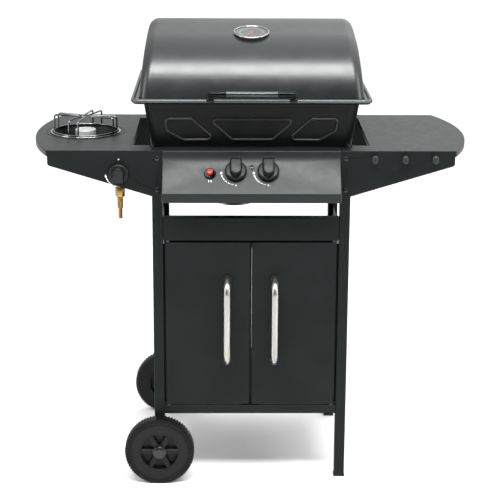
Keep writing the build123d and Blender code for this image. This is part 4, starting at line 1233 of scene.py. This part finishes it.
def wheel_repeats(radius, where):
    """What repeats round a wheel: tread lugs, blocks on the rim, round spokes and holes."""
    outline = [(-0.0026, -0.0015), (0.0026, -0.0015), (0.0018, 0.0018), (-0.0018, 0.0018)]
    lug = prism(outline, -0.032, -0.0015, Matrix.Translation((0, radius, 0)), 0.0004)
    outline = box_outline(-0.0017, -0.008, 0.0017, 0.0008)
    block = prism(outline, -0.0045, 0.0017, Matrix.Translation((0, radius - 0.0035, 0)), 0.0004)
    profile = [(0, 0.0), (0.0062, 0.0), (0.0076, 0.032), (0, 0.032)]
    spoke = turned(profile, place((0, 0.0145, -0.0078), Z_AXIS, Y_AXIS), 24, rounding=0.001)
    profile = box_outline(0.0012, -0.0004, 0.0026, 0.0004)
    hole = turned(profile, Matrix.Translation((0.054, 0, 0)), 16, ring=True)
    return [
        ring_of(lug, TREAD_LUGS, WHEEL_BLACK, where),
        ring_of(block, TREAD_LUGS, WHEEL_BLACK, where),
        ring_of(spoke, WHEEL_SPOKES, WHEEL_BLACK, where, math.radians(90)),
        ring_of(hole, WHEEL_HOLES, CAP_BLACK, where, math.radians(45)),
    ]


def hub_cap(side, where):
    """The domed cap over a wheel's hub."""
    node = f"hub_cap_{side}"
    base, top = reach_along(node, where)
    low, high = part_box(node)
    radius = (high.x - low.x) / 2
    profile = [(0, base), (radius, base), (radius, base + 0.0012), (radius * 0.84, base + 0.002)]
    profile += [(radius * 0.8, top - 0.0022), (radius * 0.55, top - 0.0005), (0, top)]
    cap = turned(profile, where, 48, rounding=0.002)
    remade(node, cap, "cap_plastic", CAP_BLACK)


def wheel(side):
    """A moulded wheel: what repeats on it, two raised rings, a near-black rim bed that is painted shade between
    the tread blocks, and its cap.
    """
    node = f"wheel_{side}"
    low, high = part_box(node)
    outward = -Y_AXIS if side == "front" else Y_AXIS
    face = low.y if side == "front" else high.y
    centre = (low + high) / 2
    radius = (high.x - low.x) / 2
    where = place((centre.x, face, centre.z), X_AXIS, outward)
    parts = [eased(node, 0.0016, 0.0006), *wheel_repeats(radius, where)]
    for bead_radius, proud in ((radius - 0.0135, 0.0013), (0.0475, 0.0014)):
        bead = [(bead_radius - 0.0018, -0.001), (bead_radius + 0.0018, -0.001)]
        bead += [(bead_radius + 0.001, proud), (bead_radius - 0.001, proud)]
        parts.append(turned(bead, where, FINE_TURN, ring=True, rounding=0.0006))
    remade(node, joined(parts, node), "wheel_plastic", WHEEL_BLACK)
    # A near-black ring behind the tread blocks: painted shade in the gaps between them.
    bed = box_outline(radius - 0.0125, -0.001, radius - 0.001, 0.0003)
    groove = turned(bed, where, FINE_TURN, ring=True)
    finished(f"wheel_{side}_groove", groove, BODY_OF[node], "wheel_plastic", GROOVE_PAINTED_SHADE)
    hub_cap(side, where)


# --- Parts that keep their CAD shape --------------------------------------------------------------


def carried_parts():
    """Finishes for the parts whose CAD shape stays."""
    finishes = {
        "wheel_axle": ZINC,
        "firebox_brackets": BLACK,
        "main_burners": ALUMINIUM,
        "flame_tamers": GALVANISED,
        "warming_rack": CHROME,
        "gas_pipes": ALUMINIUM,
        "main_valves": BRASS,
        "side_valve": BRASS,
        "lid_bumpers": RUBBER,
        "door_hinge_pins": SCREW_DARK,
        "stem_left": ALUMINIUM,
        "stem_right": ALUMINIUM,
        "stem_side": ALUMINIUM,
        "grease_cup": GALVANISED,
    }
    for node, material in finishes.items():
        dress(node, material)


# --- Studio ---------------------------------------------------------------------------------------


def floor():
    """A plain pale floor that runs far back."""
    mesh = prism(box_outline(-9, -7, 9, 12), -0.02, 0.0, Matrix())
    slab = in_scene("floor", mesh)
    mesh.materials.append(floor_finish())


def softbox(name, position, target, width, height, power):
    """A soft rectangular light aimed at a spot."""
    data = bpy.data.lights.new(name, "AREA")
    data.shape = "RECTANGLE"
    data.size = width
    data.size_y = height
    data.energy = power
    lamp = in_scene(name, data)
    lamp.location = position
    aim = Vector(target) - Vector(position)
    lamp.rotation_euler = aim.to_track_quat("-Z", "Y").to_euler()


def studio():
    """Soft light from above, in front and both sides, in a white room."""
    softbox("key_overhead", (0.0, -1.55, 2.9), (0, 0, 0.9), 2.8, 0.8, 160)
    softbox("side_left", (-2.4, -0.9, 1.4), (0, 0, 0.9), 0.8, 2.0, 26)
    softbox("side_right", (2.4, -1.0, 1.4), (0, 0, 0.9), 0.8, 2.0, 30)
    world = bpy.data.worlds.new("white_room")
    bpy.context.scene.world = world
    world.use_nodes = True
    tree = world.node_tree
    room = tree.nodes["Background"]
    room.inputs["Color"].default_value = (1, 1, 1, 1)
    way = tree.nodes.new("ShaderNodeTexCoord")
    parts = tree.nodes.new("ShaderNodeSeparateXYZ")
    link(way.outputs["Generated"], parts.inputs[0])
    height = between(tree, parts.outputs["Z"], 0.55, 1.8, 0.0, 0.9)
    depth = between(tree, parts.outputs["Y"], 0.2, 1.08, -0.95, 0.2)
    sideways = between(tree, parts.outputs["X"], 0.7, 1.25, -0.25, 0.25)
    total = height
    for share in (depth, sideways):
        product = tree.nodes.new("ShaderNodeMath")
        product.operation = "MULTIPLY"
        link(total, product.inputs[0])
        link(share, product.inputs[1])
        total = product.outputs[0]
    link(total, room.inputs["Strength"])
    bpy.context.scene.view_settings.view_transform = "Standard"


LENS = 108.82
CAMERA_SPOT = (-0.0592, -3.6741, 1.5787)
PITCH = math.radians(15.93)
YAW = math.radians(0.937)
ROLL = math.radians(0.316)


def camera():
    """The camera, a little above the lid and almost straight in front."""
    data = bpy.data.cameras.new("camera")
    data.lens = LENS
    data.sensor_width = 36.0
    eye = in_scene("camera", data)
    level = math.cos(PITCH)
    forward = Vector((math.sin(YAW) * level, math.cos(YAW) * level, -math.sin(PITCH)))
    right = Vector((math.cos(YAW), -math.sin(YAW), 0))
    up = right.cross(forward)
    rolled_right = right * math.cos(ROLL) + up * math.sin(ROLL)
    rolled_up = up * math.cos(ROLL) - right * math.sin(ROLL)
    turn = Matrix((rolled_right, rolled_up, -forward)).transposed().to_4x4()
    eye.matrix_world = Matrix.Translation(CAMERA_SPOT) @ turn
    bpy.context.scene.camera = eye


sheet_parts()
shelf_corners()
for door_side in ("left", "right"):
    refined(f"door_{door_side}_handle", "brushed_steel", GRIP_STEEL, 0.001, 0.0005)
door_strip()
door_stops()
panel_screws()
hook_pegs()
firebox()
refined("cooking_grates", "cast_iron", CAST_IRON, 0.0012, 0.0008, 2)
lid()
lid_handle()
thermometer()
knobs()
knob_marks()
igniter()
side_burner()
hose_connector()
for wheel_side in ("front", "rear"):
    wheel(wheel_side)
carried_parts()
floor()
studio()
camera()
